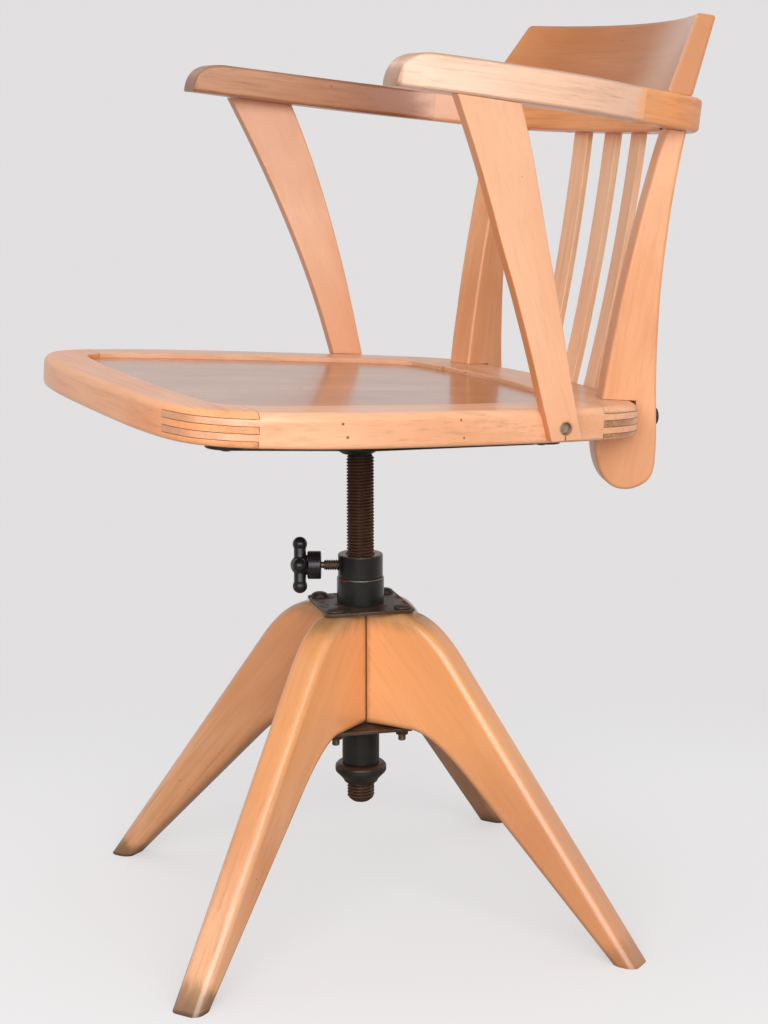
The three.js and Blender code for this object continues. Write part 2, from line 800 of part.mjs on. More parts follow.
function makeCrest() {
  const straight = slab(crestOutline(), crestHeight, crestRound, 0, crestSteps);
  const lean = new THREE.Matrix4().set(
    1, 0, 0, 0,
    0, 1, crestRake, 0,
    0, 0, 1, 0,
    0, 0, 0, 1,
  );
  const ends = polygon([
    [-crestFootHalfWidth, 0], [crestFootHalfWidth, 0],
    [crestTopHalfWidth, crestHeight], [-crestTopHalfWidth, crestHeight],
  ]);
  const behind = new THREE.Vector3(0, reach, 0);
  const trim = placed(slab(ends, reach), upright(axisX, axisZ, axisY.clone().negate(), behind));
  return moved(placed(straight, lean).intersect(trim), 0, 0, bowThickness + gap);
}

function atCrestScrew(manifold, share) {
  const x = share * crestFootHalfWidth;
  const drop = crestRadius - Math.sqrt(crestRadius * crestRadius - x * x);
  return moved(manifold, x, crestFoot - drop + crestThickness / 2 + crestRound, crestScrewSink);
}

function crestScrewHole(share) {
  const well = rod(crestScrewHead + gap, -overrun, crestScrewHeadHeight + gap);
  const bore = rod(crestScrewRadius + gap, 0, bowThickness + crestScrewBite + gap);
  return atCrestScrew(join(well, bore), share);
}

function makeCrestScrew(share) {
  const cap = rod(crestScrewHead, 0, crestScrewHeadHeight);
  const shank = rod(crestScrewRadius, 0, bowThickness + crestScrewBite);
  return atCrestScrew(join(cap, shank), share);
}

// Back posts and slats, standing in level axes

const postAlong = new THREE.Vector3(Math.sin(postTurn), Math.cos(postTurn), 0);
const postAcross = new THREE.Vector3(Math.cos(postTurn), -Math.sin(postTurn), 0);
const postOrigin = new THREE.Vector3(postCorner.x, postCorner.y, 0)
  .addScaledVector(postAcross, -postThickness);

// Back edge, round foot and front edge, in shares of the depth behind the corner and the height
const postTop = bowHeight;
const postBackShares = [
  [1.53, 1.04], [1.385, 0.948], [1.23, 0.82], [1.12, 0.692], [1.035, 0.562], [0.995, 0.431],
  [0.985, 0.302], [1.01, 0.167],
];
const postFootShares = [
  [1.004, 0.098], [0.985, 0.062], [0.92, 0.033], [0.79, 0.014], [0.6, 0.002], [0.42, 0],
  [0.25, 0.006], [0.1, 0.022], [-0.01, 0.046], [-0.085, 0.075], [-0.13, 0.11],
];
const postFrontShares = [
  [-0.14, 0.15], [-0.08, 0.21], [0, 0.27], [0.082, 0.348], [0.175, 0.425], [0.268, 0.503],
  [0.402, 0.599], [0.526, 0.68], [0.742, 0.814], [0.99, 0.948], [1.2, 1.04],
];

function postOutline() {
  const rise = postTop - bowSlope * postCorner.y - postFootHeight;
  const shares = [...postBackShares, ...postFootShares, ...postFrontShares];
  const points = shares.map(([d, h]) => new THREE.Vector2(d * postDepth, postFootHeight + h * rise));
  return new THREE.Shape(new THREE.SplineCurve(points).getPoints(postSteps));
}

function uprightTrim() {
  const over = block([-reach, -reach, -gap], [reach, reach, reach]);
  return placed(over, bowFrame);
}

// A stub tenon at an upright's head, square to the bow's underside
function headTenon(x, y, width, halfDepth, spare) {
  const half = width / 2 + spare;
  return block([x - half, y - halfDepth, -overrun], [x + half, y + halfDepth, tenonDepth + spare]);
}

const postHeadDepth = postDepth * postHeadShare; // behind the corner
const postHead = postOrigin.clone()
  .addScaledVector(postAlong, postHeadDepth)
  .addScaledVector(postAcross, postThickness / 2);

function postTenon(spare) {
  const tenon = headTenon(postHead.x, postHead.y, tenonThickness, tenonThickness / 2 + spare, spare);
  return placed(tenon, bowFrame);
}

// Puts a piece turned about +Z on a post bolt's line, its head to the back
function onPostBolt(manifold) {
  const seat = new THREE.Vector3(0, 0, postBoltHeight);
  const origin = postOrigin.clone().addScaledVector(postAcross, postThickness / 2).add(seat);
  return placed(manifold, upright(postAcross, axisZ.clone().negate(), postAlong, origin));
}

const postBoltEnd = postDepth / 2 - postBoltBite;

function postBoltHole() {
  return onPostBolt(rod(postBoltRadius + gap, postBoltEnd - gap, postDepth + overrun));
}

function makePostBolt() {
  const back = postDepth + 2 * gap;
  const dome = turned([
    [0, back], [postNutRadius, back], [postNutRadius, back + postNutHeight / 3],
    [postNutRadius / 2, back + postNutHeight], [0, back + postNutHeight],
  ], fine);
  return onPostBolt(join(rod(postBoltRadius, postBoltEnd, back + gap), dome));
}

function makePost(seatCut) {
  const board = slab(postOutline(), postThickness, postRound);
  const standing = placed(board, upright(postAlong, axisZ, postAcross, postOrigin));
  return join(cut(standing, seatCut, uprightTrim(), postBoltHole()), postTenon(0));
}

function slatOutline(spare) {
  const top = bowHeight;
  const height = top - slatFootHeight;
  const lean = (slatHead - slatFoot) / (height - bowSlope * slatHead);
  const middle = slatFootHeight + height / 2;
  const half = slatThickness / 2 + spare;
  const headY = slatFoot + lean * height;
  const middleY = slatFoot + lean * (height / 2) + 2 * slatCamber;
  const shape = new THREE.Shape();
  shape.moveTo(slatFoot - half, slatFootHeight - spare);
  shape.lineTo(slatFoot + half, slatFootHeight - spare);
  shape.quadraticCurveTo(middleY + half, middle, headY + half, top);
  shape.lineTo(headY - half, top);
  shape.quadraticCurveTo(middleY - half, middle, slatFoot - half, slatFootHeight - spare);
  return shape;
}

// Slats stand along the curve of the crest, each turned to face its middle
function slatSag(offset) {
  return (offset * offset * slatPitch * slatPitch) / (2 * crestRadius);
}

function slatBoard(offset, spare) {
  const width = slatWidth + 2 * spare;
  const board = slab(slatOutline(spare), width, 0, 0, slatSteps);
  const upon = upright(axisY, axisZ, axisX, new THREE.Vector3(-width / 2, -slatFoot, 0));
  const turn = THREE.MathUtils.radToDeg(-slatPitch / crestRadius) * offset;
  const turnedBoard = placed(board, upon).rotate([0, 0, turn]);
  return moved(turnedBoard, offset * slatPitch, slatFoot - slatSag(offset), 0);
}

function slatTenon(offset, spare) {
  const head = headTenon(0, 0, tenonThickness, slatTenonThickness / 2 + spare, spare);
  return placed(head, bowFrame.clone().multiply(
    new THREE.Matrix4().makeTranslation(offset * slatPitch, slatHead - slatSag(offset), 0),
  ));
}

function makeSlat(offset) {
  return join(cut(slatBoard(offset, 0), uprightTrim()), slatTenon(offset, 0));
}

// Arm supports: a side view crossed with a front view

// Edges at even steps of height: front and back in shares of the foot's back reach, and the flare
const supportFrontShares = [0.708, 0.619, 0.53, 0.431, 0.322, 0.202, 0.08, -0.05, -0.19, -0.337];
const supportBackShares = [1, 0.924, 0.857, 0.789, 0.715, 0.634, 0.55, 0.46, 0.355, 0.241];
const supportFlareShares = [0, 0.063, 0.131, 0.214, 0.313, 0.405, 0.56, 0.722, 0.865, 1];
const supportStepShare = 0.1156; // of the rise, between the heights of the shares

function supportCurve(shares, origin, span) {
  const step = supportStepShare * (bowHeight - supportFootHeight);
  const points = shares.map((share, k) => (
    new THREE.Vector2(origin + share * span, supportFootHeight + k * step)
  ));
  return new THREE.SplineCurve(points).getPoints(2 * curveSteps);
}

// The faces turn with height, so that their back edges come in towards the seat
function supportTurn(height) {
  const rise = (bowHeight - supportFootHeight) * supportTurnShare;
  const share = THREE.MathUtils.clamp((height - supportFootHeight) / rise, 0, 1);
  return THREE.MathUtils.lerp(supportFootTurn, supportHeadTurn, share);
}

function makeSupport(seatCut) {
  const side = new THREE.Shape([
    ...supportCurve(supportBackShares, 0, supportFootBack),
    ...supportCurve(supportFrontShares, 0, supportFootBack).reverse(),
  ]);
  const front = new THREE.Shape([
    ...supportCurve(supportFlareShares, supportFootX, supportFlare),
    ...supportCurve(supportFlareShares, supportFootX - supportThickness, supportFlare).reverse(),
  ]);
  const sideBoard = placed(slab(side, reach), upright(axisY, axisZ, axisX, new THREE.Vector3()));
  const frontBoard = placed(
    slab(front, 2 * reach),
    upright(axisX, axisZ, axisY.clone().negate(), new THREE.Vector3(0, reach, 0)),
  );
  const board = sideBoard.intersect(frontBoard).warp((corner) => {
    corner[0] -= supportTurn(corner[2]) * corner[1];
  });
  return join(cut(board, seatCut, uprightTrim(), supportScrewHole()), supportTenon(0));
}

const supportHead = {
  x: supportFootX + supportFlare - supportThickness / 2,
  y: 0,
};

function supportTenon(spare) {
  const middle = supportHead.x - supportLean;
  return placed(headTenon(middle, supportHead.y, tenonThickness, tenonThickness + spare, spare), bowFrame);
}

// Puts a piece turned about +Z on a support screw's line, its head outwards
function onSupportScrew(manifold) {
  const origin = new THREE.Vector3(0, supportScrewY, supportScrewHeight);
  return placed(manifold, upright(axisY, axisZ, axisX, origin));
}

const supportScrewFace = supportFootX - supportScrewSink;
const supportScrewEnd = supportScrewFace - supportScrewBite;
const supportScrewNeck = supportScrewFace - supportScrewHead;

function supportScrewHole() {
  const shank = rod(supportScrewRadius + gap, supportScrewEnd - gap, supportScrewNeck + gap);
  const well = rod(supportScrewHead + gap, supportScrewNeck - gap, supportFootX + overrun);
  return onSupportScrew(join(shank, well));
}

function makeSupportScrew() {
  const slotDepth = supportScrewHead / 4;
  const cap = turned([
    [0, supportScrewNeck], [supportScrewRadius, supportScrewNeck],
    [supportScrewHead, supportScrewFace - slotDepth], [supportScrewHead, supportScrewFace],
    [0, supportScrewFace],
  ], fine);
  const slot = block(
    [-supportScrewHead - overrun, -slotDepth / 2, supportScrewFace - slotDepth],
    [supportScrewHead + overrun, slotDepth / 2, supportScrewFace + overrun],
  );
  const shank = rod(supportScrewRadius, supportScrewEnd, supportScrewNeck + gap);
  return onSupportScrew(cut(join(shank, cap), slot));
}

// Assembly

const chair = new THREE.Group();

// The outline runs from the seat's front edge to the crest's upper back edge
const seatEdgeDrop = seatThickness - seatFootRound;
const frontReach = seatFront * Math.cos(seatTilt) - seatEdgeDrop * Math.sin(seatTilt);
const crestRise = bowThickness + gap + crestHeight - crestRound;
const crestBack = crestFoot + crestThickness + crestRake * (crestHeight - crestRound);
const backReach = crestBack * Math.cos(bowTilt) - crestRise * Math.sin(bowTilt);
chair.position.y = (frontReach - backReach) / 2;

const base = new THREE.Group();
base.rotation.z = legHeading;
chair.add(base);

for (let k = 0; k < legCount; k++) {
  const quarter = new THREE.Group();
  quarter.rotation.z = (2 * Math.PI * k) / legCount;
  quarter.add(piece(`leg_${k + 1}`, makeLeg(), beech));
  const bolt = piece(`leg_bolt_${k + 1}`, moved(makeBodyBolt(), bodyBoltCircle, 0, 0), blackIron);
  const nut = piece(`leg_nut_${k + 1}`, moved(makeBodyNut(), bodyBoltCircle, 0, 0), blackIron);
  quarter.add(bolt, nut);
  base.add(quarter);
}
base.add(piece("top_plate", makePlate(topPlateBottom), blackIron));
base.add(piece("bottom_plate", makePlate(bottomPlateBottom), blackIron));
base.add(piece("swivel_housing", makeHousing(), blackIron));

chair.add(piece("screw_sleeve", makeSleeve(), blackIron));
chair.add(piece("ring_nut", makeRingNut(), rustyIron));
chair.add(piece("clamp_stud", makeStud(), brightSteel));
chair.add(piece("clamp_knob", makeKnob(), bakelite));
chair.add(piece("height_screw", makeScrew(), rustyIron));

const seat = new THREE.Group();
seat.position.z = seatHeight;
seat.rotation.x = seatTilt;
chair.add(seat);

const seatOffset = seatFrame.clone().invert();
const postBoltTool = postBoltHole();
const supportScrewTool = supportScrewHole();
const frameTools = [
  postBoltTool, mirrored(postBoltTool), supportScrewTool, mirrored(supportScrewTool),
  ...slatOffsets.map((offset) => slatBoard(offset, gap)),
].map((tool) => placed(tool, seatOffset));
const spiderTips = [1, -1].flatMap((side) => [frontArm, rearArm].map((arm) => armTip(arm, side)));
const ring = cut(makeSeatRing(), ...frameTools, ...spiderTips.map(spiderScrewHole));

const sideRail = makeSideRail(ring);
seat.add(piece("front_rail", makeFrontRail(ring), beech));
seat.add(piece("rear_rail", makeRearRail(ring), beech));
seat.add(piece("left_rail", sideRail, beech));
seat.add(piece("right_rail", mirrored(sideRail), beech));
seat.add(piece("seat_panel", makePanel(), plywood));
seat.add(piece("seat_spider", cut(makeSpider(), shankBore()), blackIron));
const spiderScrewNames = ["left_front", "left_rear", "right_front", "right_rear"];
spiderTips.forEach((tip, k) => {
  seat.add(piece(`spider_screw_${spiderScrewNames[k]}`, makeSpiderScrew(tip), blackIron));
});

const seatCut = placed(seatClearance(), seatFrame);
const post = makePost(seatCut);
const support = makeSupport(seatCut);
const postBolt = makePostBolt();
const supportScrew = makeSupportScrew();
chair.add(piece("left_post", post, beech));
chair.add(piece("right_post", mirrored(post), beech));
chair.add(piece("left_post_bolt", postBolt, blackIron));
chair.add(piece("right_post_bolt", mirrored(postBolt), blackIron));
chair.add(piece("left_arm_support", support, beech));
chair.add(piece("right_arm_support", mirrored(support), beech));
chair.add(piece("left_support_screw", supportScrew, brightSteel));
chair.add(piece("right_support_screw", mirrored(supportScrew), brightSteel));
slatOffsets.forEach((offset, k) => {
  chair.add(piece(slatNames[k], makeSlat(offset), beech));
});

const bow = new THREE.Group();
bow.position.z = bowHeight;
bow.rotation.x = bowTilt;
chair.add(bow);

const bowOffset = bowFrame.clone().invert();
const headTools = [
  postTenon(gap), mirrored(postTenon(gap)), supportTenon(gap), mirrored(supportTenon(gap)),
  ...slatOffsets.map((offset) => slatTenon(offset, gap)),
].map((tool) => placed(tool, bowOffset));
const crestScrewTools = crestScrewShares.map(crestScrewHole);
const bowBlank = cut(makeBowBlank(), ...headTools, ...crestScrewTools);
const arm = makeArm(bowBlank);
bow.add(piece("left_arm", arm, beech));
bow.add(piece("right_arm", mirrored(arm), beech));
bow.add(piece("back_bow", makeBackBow(bowBlank), beech));
bow.add(piece("crest_board", cut(makeCrest(), ...crestScrewTools), beech));
crestScrewShares.forEach((share, k) => {
  bow.add(piece(`crest_screw_${k + 1}`, makeCrestScrew(share), blackIron));
});

export default chair;
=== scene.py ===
"""Beech swivel desk chair: the wood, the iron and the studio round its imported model."""

import math

import bpy
import numpy as np
from bpy.props import FloatProperty, FloatVectorProperty, PointerProperty
from mathutils import Matrix, Vector


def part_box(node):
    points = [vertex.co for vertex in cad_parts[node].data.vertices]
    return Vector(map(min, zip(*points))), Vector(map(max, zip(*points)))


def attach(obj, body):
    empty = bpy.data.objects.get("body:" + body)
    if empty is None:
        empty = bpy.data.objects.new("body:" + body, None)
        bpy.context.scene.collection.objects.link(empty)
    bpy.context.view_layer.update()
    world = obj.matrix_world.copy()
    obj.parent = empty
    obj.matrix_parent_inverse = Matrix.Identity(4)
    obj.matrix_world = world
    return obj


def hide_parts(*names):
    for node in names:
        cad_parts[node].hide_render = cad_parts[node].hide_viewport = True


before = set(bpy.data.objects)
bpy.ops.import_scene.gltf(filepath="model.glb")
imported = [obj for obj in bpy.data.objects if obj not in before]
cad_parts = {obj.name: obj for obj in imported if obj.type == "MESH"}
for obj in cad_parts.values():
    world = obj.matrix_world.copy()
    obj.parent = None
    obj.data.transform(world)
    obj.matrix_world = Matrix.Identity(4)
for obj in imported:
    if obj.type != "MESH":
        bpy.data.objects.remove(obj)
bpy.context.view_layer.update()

bl_info = {
    "name": "Beech Swivel Chair",
    "version": (1, 0, 0),
    "blender": (4, 5, 0),
    "location": "3D View > Sidebar > Swivel Chair",
    "description": "Builds the pieces, finishes and studio of a beech swivel desk chair",
    "category": "Add Mesh",
}

# Lengths are millimetres, measured from the swivel axis. The sidebar's sizes, the studio, the zones of colour
# and the finished pieces are in metres.
MM = 0.001
GAP = 0.3
OVERRUN = 4
FAR = 700


def axis_offset():
    """The swivel axis stands this far along Y from the middle of the chair's outline."""
    low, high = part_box("swivel_housing")
    return (low.y + high.y) / 2


AXIS = Vector((0, axis_offset(), 0))

# Base
LEG_HEADING = math.radians(-54.4)
LEG_COUNT = 4
LEG_THICKNESS = 30
LEG_TOP = 295
LEG_UNDERSIDE = 185
LEG_SEAM = 0.6
FOOT_REACH = 293
FOOT_LENGTH = 25
SHOULDER = (46, 104, 256)  # start, end and height of the end
CROTCH = (60, 122, 146)
PLATE_SIDE = 84
PLATE_THICKNESS = 3
PLATE_CORNER = 4
BODY_BOLT_RADIUS = 3.5
BODY_BOLT_CIRCLE = 45
BODY_BOLT_HEAD = (8, 4.4)  # radius and height
BODY_BOLT_TAIL = 6
BODY_NUT = (6.6, 4.5)
LEG_GRAIN = Vector((0.65, 0, -0.76))
LEG_ROUNDING_STEPS = 7
CURVE_STEPS = 16

# Swivel
HOUSING_RADIUS = 17.5
HOUSING_COLLAR = 22
HOUSING_TOP = 323.1
HOUSING_BOTTOM = 143
SLEEVE_RADIUS = 14.6
SLEEVE_BORE = 13.3
SLEEVE_COLLAR = 21
SLEEVE_TOP = 344.8
SLEEVE_BOTTOM = 124
RING_FLANGE = (24.2, 11)
RING_WAIST = 15.8

# Clamp
CLAMP_HEADING = math.radians(-113.4)
CLAMP_HEIGHT = 333.8
STUD_RADIUS = 5
STUD_SHOW = 15.5
BOSS = (13.2, 13)
LOBE_REACH = 19.6
LOBE_RADIUS = 6.9
LOBE_ARM = 5.7
KNOB_FACE = 9
LOBES = 4
LOBE_TURN = math.radians(11)
KNOB_SKIN = (0.55, 5)  # voxel and rounds of smoothing

# Height screw
SCREW_RADIUS = 12.9
SCREW_ROOT = 11.3
SCREW_TOP = 437.6
SCREW_BOTTOM = 107.6
SCREW_TIP = 3
SHANK_RADIUS = 9

# Seat
SEAT_HEIGHT = 509.2
SEAT_SLOPE = 0.0585
SEAT_THICKNESS = 29
SEAT_HALF_WIDTH = 248
SEAT_FRONT = 257
SEAT_BACK = 218
PANEL_HALF_WIDTH = 202
PANEL_FRONT = 216
PANEL_BACK = 148
PANEL_SINK = 4.5
PANEL_THICKNESS = 6
REBATE = 8
FRONT_SHOULDER = 189
REAR_SHOULDER = 138
FRONT_TONGUE = 178
REAR_TONGUE = 156
FINGERS = 5

# Spider
HUB_RADIUS = 21
HUB_MOUTH = 13
HUB_DROP = 41
HUB_CHAMFER = 5
ARM_WEB = 8
ARM_FLANGE = 26
FLANGE_THICKNESS = 5
ARM_TIP_DROP = 7
PAD_RADIUS = 17
SEAT_SCREW = (2.5, 5.5)  # radii of its shank and head
SPIDER_TIPS = [(197, -200), (177, 95), (-197, -200), (-177, 95)]

# Arm bow and crest
BOW_HEIGHT = 759.3
BOW_SLOPE = 0.116
BOW_THICKNESS = 29
BOW_HALF_WIDTH = 259
BOW_BACK = 274
BOW_JOINT = 165
NOSE_REACH = 80
NOSE_LENGTH = 32
NOSE_FOOT = 3
CREST_HEIGHT = 74
CREST_THICKNESS = 18.2
CREST_TAPER = 5
CREST_RADIUS = 403
CREST_FOOT = 249.8
CREST_RAKE = 0.327
CREST_HALF_FOOT = 180
CREST_HALF_TOP = 156
CREST_SCREWS = (-0.72, -0.4, 0.4, 0.72)
CREST_WELL = (5, 3)  # radius and depth

# Posts, slats and supports
POST_TURN = math.radians(18)
POST_CORNER = (155.2, 166.8)
POST_THICKNESS = 28
POST_FOOT = 418.3
POST_DEPTH = 48.5
POST_BOLT_HEIGHT = 482
POST_NUT = (8, 4.2)
POST_BOLT = (4, 32)  # radius, and reach ahead of the middle of the post
POST_LEAN = Vector((0, 0.16, 1))
SLAT_WIDTH = 22.5
SLAT_THICKNESS = 6.6
SLAT_PITCH = 46
SLAT_FOOT_HEIGHT = 474
SLAT_FOOT = 213.5
SLAT_HEAD = 260.5
SLAT_CAMBER = 5.6
SLAT_LEAN = Vector((0, 0.165, 1))
SUPPORT_THICKNESS = 12.6
SUPPORT_FOOT_HEIGHT = 479
SUPPORT_FOOT_X = 234.6  # of the outer face, carried on to the axis
SUPPORT_FLARE = 25.2
SUPPORT_FOOT_BACK = 103.8
SUPPORT_TURN = (0.03, 0.15, 215)  # slope of the faces at the foot and above, and the rise between them
SUPPORT_SCREW = (87, 489)  # Y and Z of its axis
SUPPORT_SCREW_HEAD = 5
SUPPORT_SCREW_SINK = 6.8
SUPPORT_SCREW_SHANK = (2.6, 28)  # radius and length
SUPPORT_SCREW_TURN = math.radians(38)
SUPPORT_LEAN = Vector((0, -0.36, 1))

SEAT_EDGE = [
    (0, -1), (0.4, -0.995), (0.66, -0.975), (0.82, -0.935), (0.91, -0.865), (0.965, -0.76),
    (0.995, -0.6), (1, -0.44), (0.98, -0.22), (0.948, 0), (0.918, 0.22), (0.887, 0.42),
    (0.85, 0.6), (0.81, 0.74), (0.75, 0.845), (0.65, 0.9), (0.52, 0.93), (0.26, 0.98), (0, 1),
]
PANEL_EDGE = [
    (0, -1), (0.5, -0.99), (0.82, -0.965), (0.94, -0.92), (0.985, -0.84), (0.995, -0.72),
    (0.97, -0.38), (0.93, 0), (0.89, 0.3), (0.85, 0.62), (0.8, 0.8), (0.7, 0.885), (0.45, 0.95),
    (0.25, 0.985), (0, 1),
]
BOW_OUTER = [
    (0.985, -0.299), (1, -0.11), (1, 0.07), (0.982, 0.24), (0.951, 0.36), (0.905, 0.47),
    (0.853, 0.568), (0.803, 0.675), (0.768, 0.774), (0.714, 0.868), (0.641, 0.918),
    (0.541, 0.952), (0.386, 0.979), (0.193, 0.995), (0, 1),
]
BOW_INNER = [
    (0.872, -0.299), (0.86, -0.11), (0.85, 0.07), (0.838, 0.24), (0.822, 0.36), (0.79, 0.47),
    (0.749, 0.568), (0.706, 0.665), (0.664, 0.745), (0.61, 0.81), (0.533, 0.852),
    (0.386, 0.882), (0.193, 0.9), (0, 0.906),
]
POST_EDGE = [
    (1.53, 1.04), (1.385, 0.948), (1.23, 0.82), (1.12, 0.692), (1.035, 0.562), (0.995, 0.431),
    (0.985, 0.302), (1.01, 0.167), (1.004, 0.098), (0.985, 0.062), (0.92, 0.033), (0.79, 0.014),
    (0.6, 0.002), (0.42, 0), (0.25, 0.006), (0.1, 0.022), (-0.01, 0.046), (-0.085, 0.075),
    (-0.13, 0.11), (-0.14, 0.15), (-0.08, 0.21), (0, 0.27), (0.082, 0.348), (0.175, 0.425),
    (0.268, 0.503), (0.402, 0.599), (0.526, 0.68), (0.742, 0.814), (0.99, 0.948), (1.2, 1.04),
]
SUPPORT_FRONT = [0.708, 0.619, 0.53, 0.431, 0.322, 0.202, 0.08, -0.05, -0.19, -0.337]
SUPPORT_BACK = [1, 0.924, 0.857, 0.789, 0.715, 0.634, 0.55, 0.46, 0.355, 0.241]
SUPPORT_FLARES = [0, 0.063, 0.131, 0.214, 0.313, 0.405, 0.56, 0.722, 0.865, 1]
SUPPORT_STEP = 0.1156

SEAT_PLANE = Matrix.Translation((0, 0, SEAT_HEIGHT)) @ Matrix.Rotation(-math.atan(SEAT_SLOPE), 4, "X")
BOW_PLANE = Matrix.Translation((0, 0, BOW_HEIGHT)) @ Matrix.Rotation(-math.atan(BOW_SLOPE), 4, "X")
X, Y, Z = Vector((1, 0, 0)), Vector((0, 1, 0)), Vector((0, 0, 1))

# Studio
LAMP_SIZE = 2.6
LAMPS = [  # name, place, and the height on the axis that it is turned to
    ("key", (3.3, -0.2, 1.6), 0.4), ("side", (2.7, -2.0, 1.5), 0.45), ("fill", (-0.6, -0.9, 3.2), 0.4),
]
FLOOR_RINGS = (0.3, 1, 2.5, 6)
FLOOR_FACETS = 96


def tone(red, green, blue):
    """A colour as it is picked off a screen, turned into light."""
    def light(value):
        share = value / 255
        return share / 12.92 if share <= 0.04045 else ((share + 0.055) / 1.055) ** 2.4
    return (light(red), light(green), light(blue))


def length(name, description, default):
    return FloatProperty(name=name, description=description, default=default, unit="LENGTH", min=0.0001)


def power(name, description, default):
    return FloatProperty(name=name, description=description, default=default, min=0, unit="POWER")


def colour(name, description, red, green, blue):
    return FloatVectorProperty(
        name=name, description=description, default=tone(red, green, blue),
        subtype="COLOR", size=3, min=0, max=1,
    )


class ChairSizes(bpy.types.PropertyGroup):
    """Roundings, seams and threads"""
    leg_edge: length("Leg edge", "Rounding of the legs' long edges", 0.008)
    rail_edge: length("Rail edge", "Rounding of the seat frame's upper edge", 0.008)
    rail_foot: length("Rail foot", "Rounding of the seat frame's lower edge", 0.004)
    rebate_edge: length("Rebate edge", "Rounding round the panel's opening", 0.0016)
    arm_edge: length("Arm edge", "Rounding of the arms and the back bow", 0.004)
    nose_edge: length("Arm nose", "Rounding of the arms' front corners", 0.0012)
    crest_edge: length("Crest edge", "Rounding of the crest board", 0.003)
    post_edge: length("Post edge", "Rounding of the back posts", 0.003)
    support_edge: length("Support edge", "Rounding of the arm supports", 0.0018)
    slat_edge: length("Slat edge", "Rounding of the slats", 0.001)
    plate_edge: length("Plate edge", "Rounding of the iron plates", 0.0005)
    finger_gap: length("Finger gap", "Open seam of the shrunken finger joints", 0.0005)
    thread_pitch: length("Thread pitch", "Rise of the height screw per turn", 0.003)
    stud_pitch: length("Stud pitch", "Rise of the clamp's stud per turn", 0.0021)


class ChairColours(bpy.types.PropertyGroup):
    """Light and deep tone of each wood, and the metals"""
    leg_light: colour("Leg, light", "Lighter tone of the legs", 248, 188, 144)
    leg_deep: colour("Leg, deep", "Deeper tone of the legs", 232, 158, 106)
    arm_light: colour("Arm, light", "Worn tone of the left arm", 250, 212, 188)
    arm_deep: colour("Arm, deep", "Deeper tone of the left arm", 240, 190, 158)
    # Painted shade: the right arm's tones are darker than the left arm's, for the shade on the far arm.
    far_arm_shaded_light: colour("Right arm, light", "Lighter tone of the right arm", 202, 152, 118)
    far_arm_shaded_deep: colour("Right arm, deep", "Deeper tone of the right arm", 176, 120, 84)
    bow_light: colour("Bow, light", "Lighter tone of the back bow", 252, 178, 118)
    bow_deep: colour("Bow, deep", "Deeper tone of the back bow", 224, 140, 84)
    crest_light: colour("Crest, light", "Lighter tone of the crest board", 214, 144, 92)
    crest_deep: colour("Crest, deep", "Deeper tone of the crest board", 188, 114, 60)
    support_light: colour("Support, light", "Lighter tone of the arm supports", 248, 192, 154)
    support_deep: colour("Support, deep", "Deeper tone of the arm supports", 238, 172, 130)
    post_light: colour("Post, light", "Lighter tone of the back posts", 248, 184, 138)
    post_deep: colour("Post, deep", "Deeper tone of the back posts", 226, 154, 104)
    slat_light: colour("Slat, light", "Lighter tone of the slats", 255, 210, 170)
    slat_deep: colour("Slat, deep", "Deeper tone of the slats", 252, 190, 146)
    rail_light: colour("Rail, light", "Lighter tone of the seat frame", 250, 190, 150)
    rail_deep: colour("Rail, deep", "Deeper tone of the seat frame", 238, 170, 126)
    panel_light: colour("Panel, light", "Lighter tone of the plywood", 194, 128, 82)
    panel_deep: colour("Panel, deep", "Deeper tone of the plywood", 166, 100, 58)
    end_grain: colour("End grain", "Cut ends of the boards", 190, 144, 100)
    grime: colour("Grime", "Dirt in seams and on the feet", 70, 48, 32)
    iron: colour("Iron", "Black oxide of the collars and plates", 54, 54, 53)
    iron_bare: colour("Bare iron", "Iron where the black has worn off", 120, 108, 96)
    rust: colour("Rust", "Rust on the screw, the nut and the plates", 100, 61, 38)
    steel: colour("Steel", "Bright screws and the clamp's stud", 176, 166, 150)
    bakelite: colour("Knob", "Black of the clamp's knob", 26, 26, 27)


class StudioSettings(bpy.types.PropertyGroup):
    """Camera, lights and backdrop"""
    camera_place: FloatVectorProperty(
        name="Camera", description="Where the camera stands", default=(1.7253, -0.7683, 0.7490),
        subtype="TRANSLATION", size=3,
    )
    camera_aim: FloatVectorProperty(
        name="Aim", description="Direction that the camera looks in", default=(-0.8962, 0.4005, -0.1906),
        subtype="DIRECTION", size=3,
    )
    lens: FloatProperty(name="Lens", description="Focal length", default=72.49, unit="CAMERA", min=10)
    backdrop: colour("Backdrop", "Colour of the backdrop", 226, 224, 224)
    floor: colour("Floor", "Colour of the floor", 240, 239, 240)
    floor_glow: colour("Floor glow", "Even part of the floor as it is seen", 250, 249, 249)
    floor_bounce: colour("Floor bounce", "Colour of the floor as it lights the chair", 170, 156, 144)
    ambient: FloatProperty(name="Ambient", description="Level of the light from above", default=0.5, min=0)
    under: FloatProperty(name="Under light", description="Level of the light from below", default=0.1, min=0)
    key: power("Key light", "Power of the soft light at the right", 50)
    side: power("Side light", "Power of the soft light at the left", 62)
    fill: power("Fill light", "Power of the light overhead", 8)


# Shaping


def smooth_line(points, samples):
    """Points evenly spaced in parameter along a curve through the given ones."""
    given = np.array(points, float)
    last = len(given) - 1
    line = []
    for t in np.linspace(0, last, samples + 1):
        k = min(int(t), last)
        w = t - k
        before, here = given[max(k - 1, 0)], given[k]
        there, after = given[min(k + 1, last)], given[min(k + 2, last)]
        leave, arrive = (there - before) / 2, (after - here) / 2
        cubic = 2 * here - 2 * there + leave + arrive
        square = -3 * here + 3 * there - 2 * leave - arrive
        line.append(cubic * w ** 3 + square * w ** 2 + leave * w + here)
    return np.array(line)


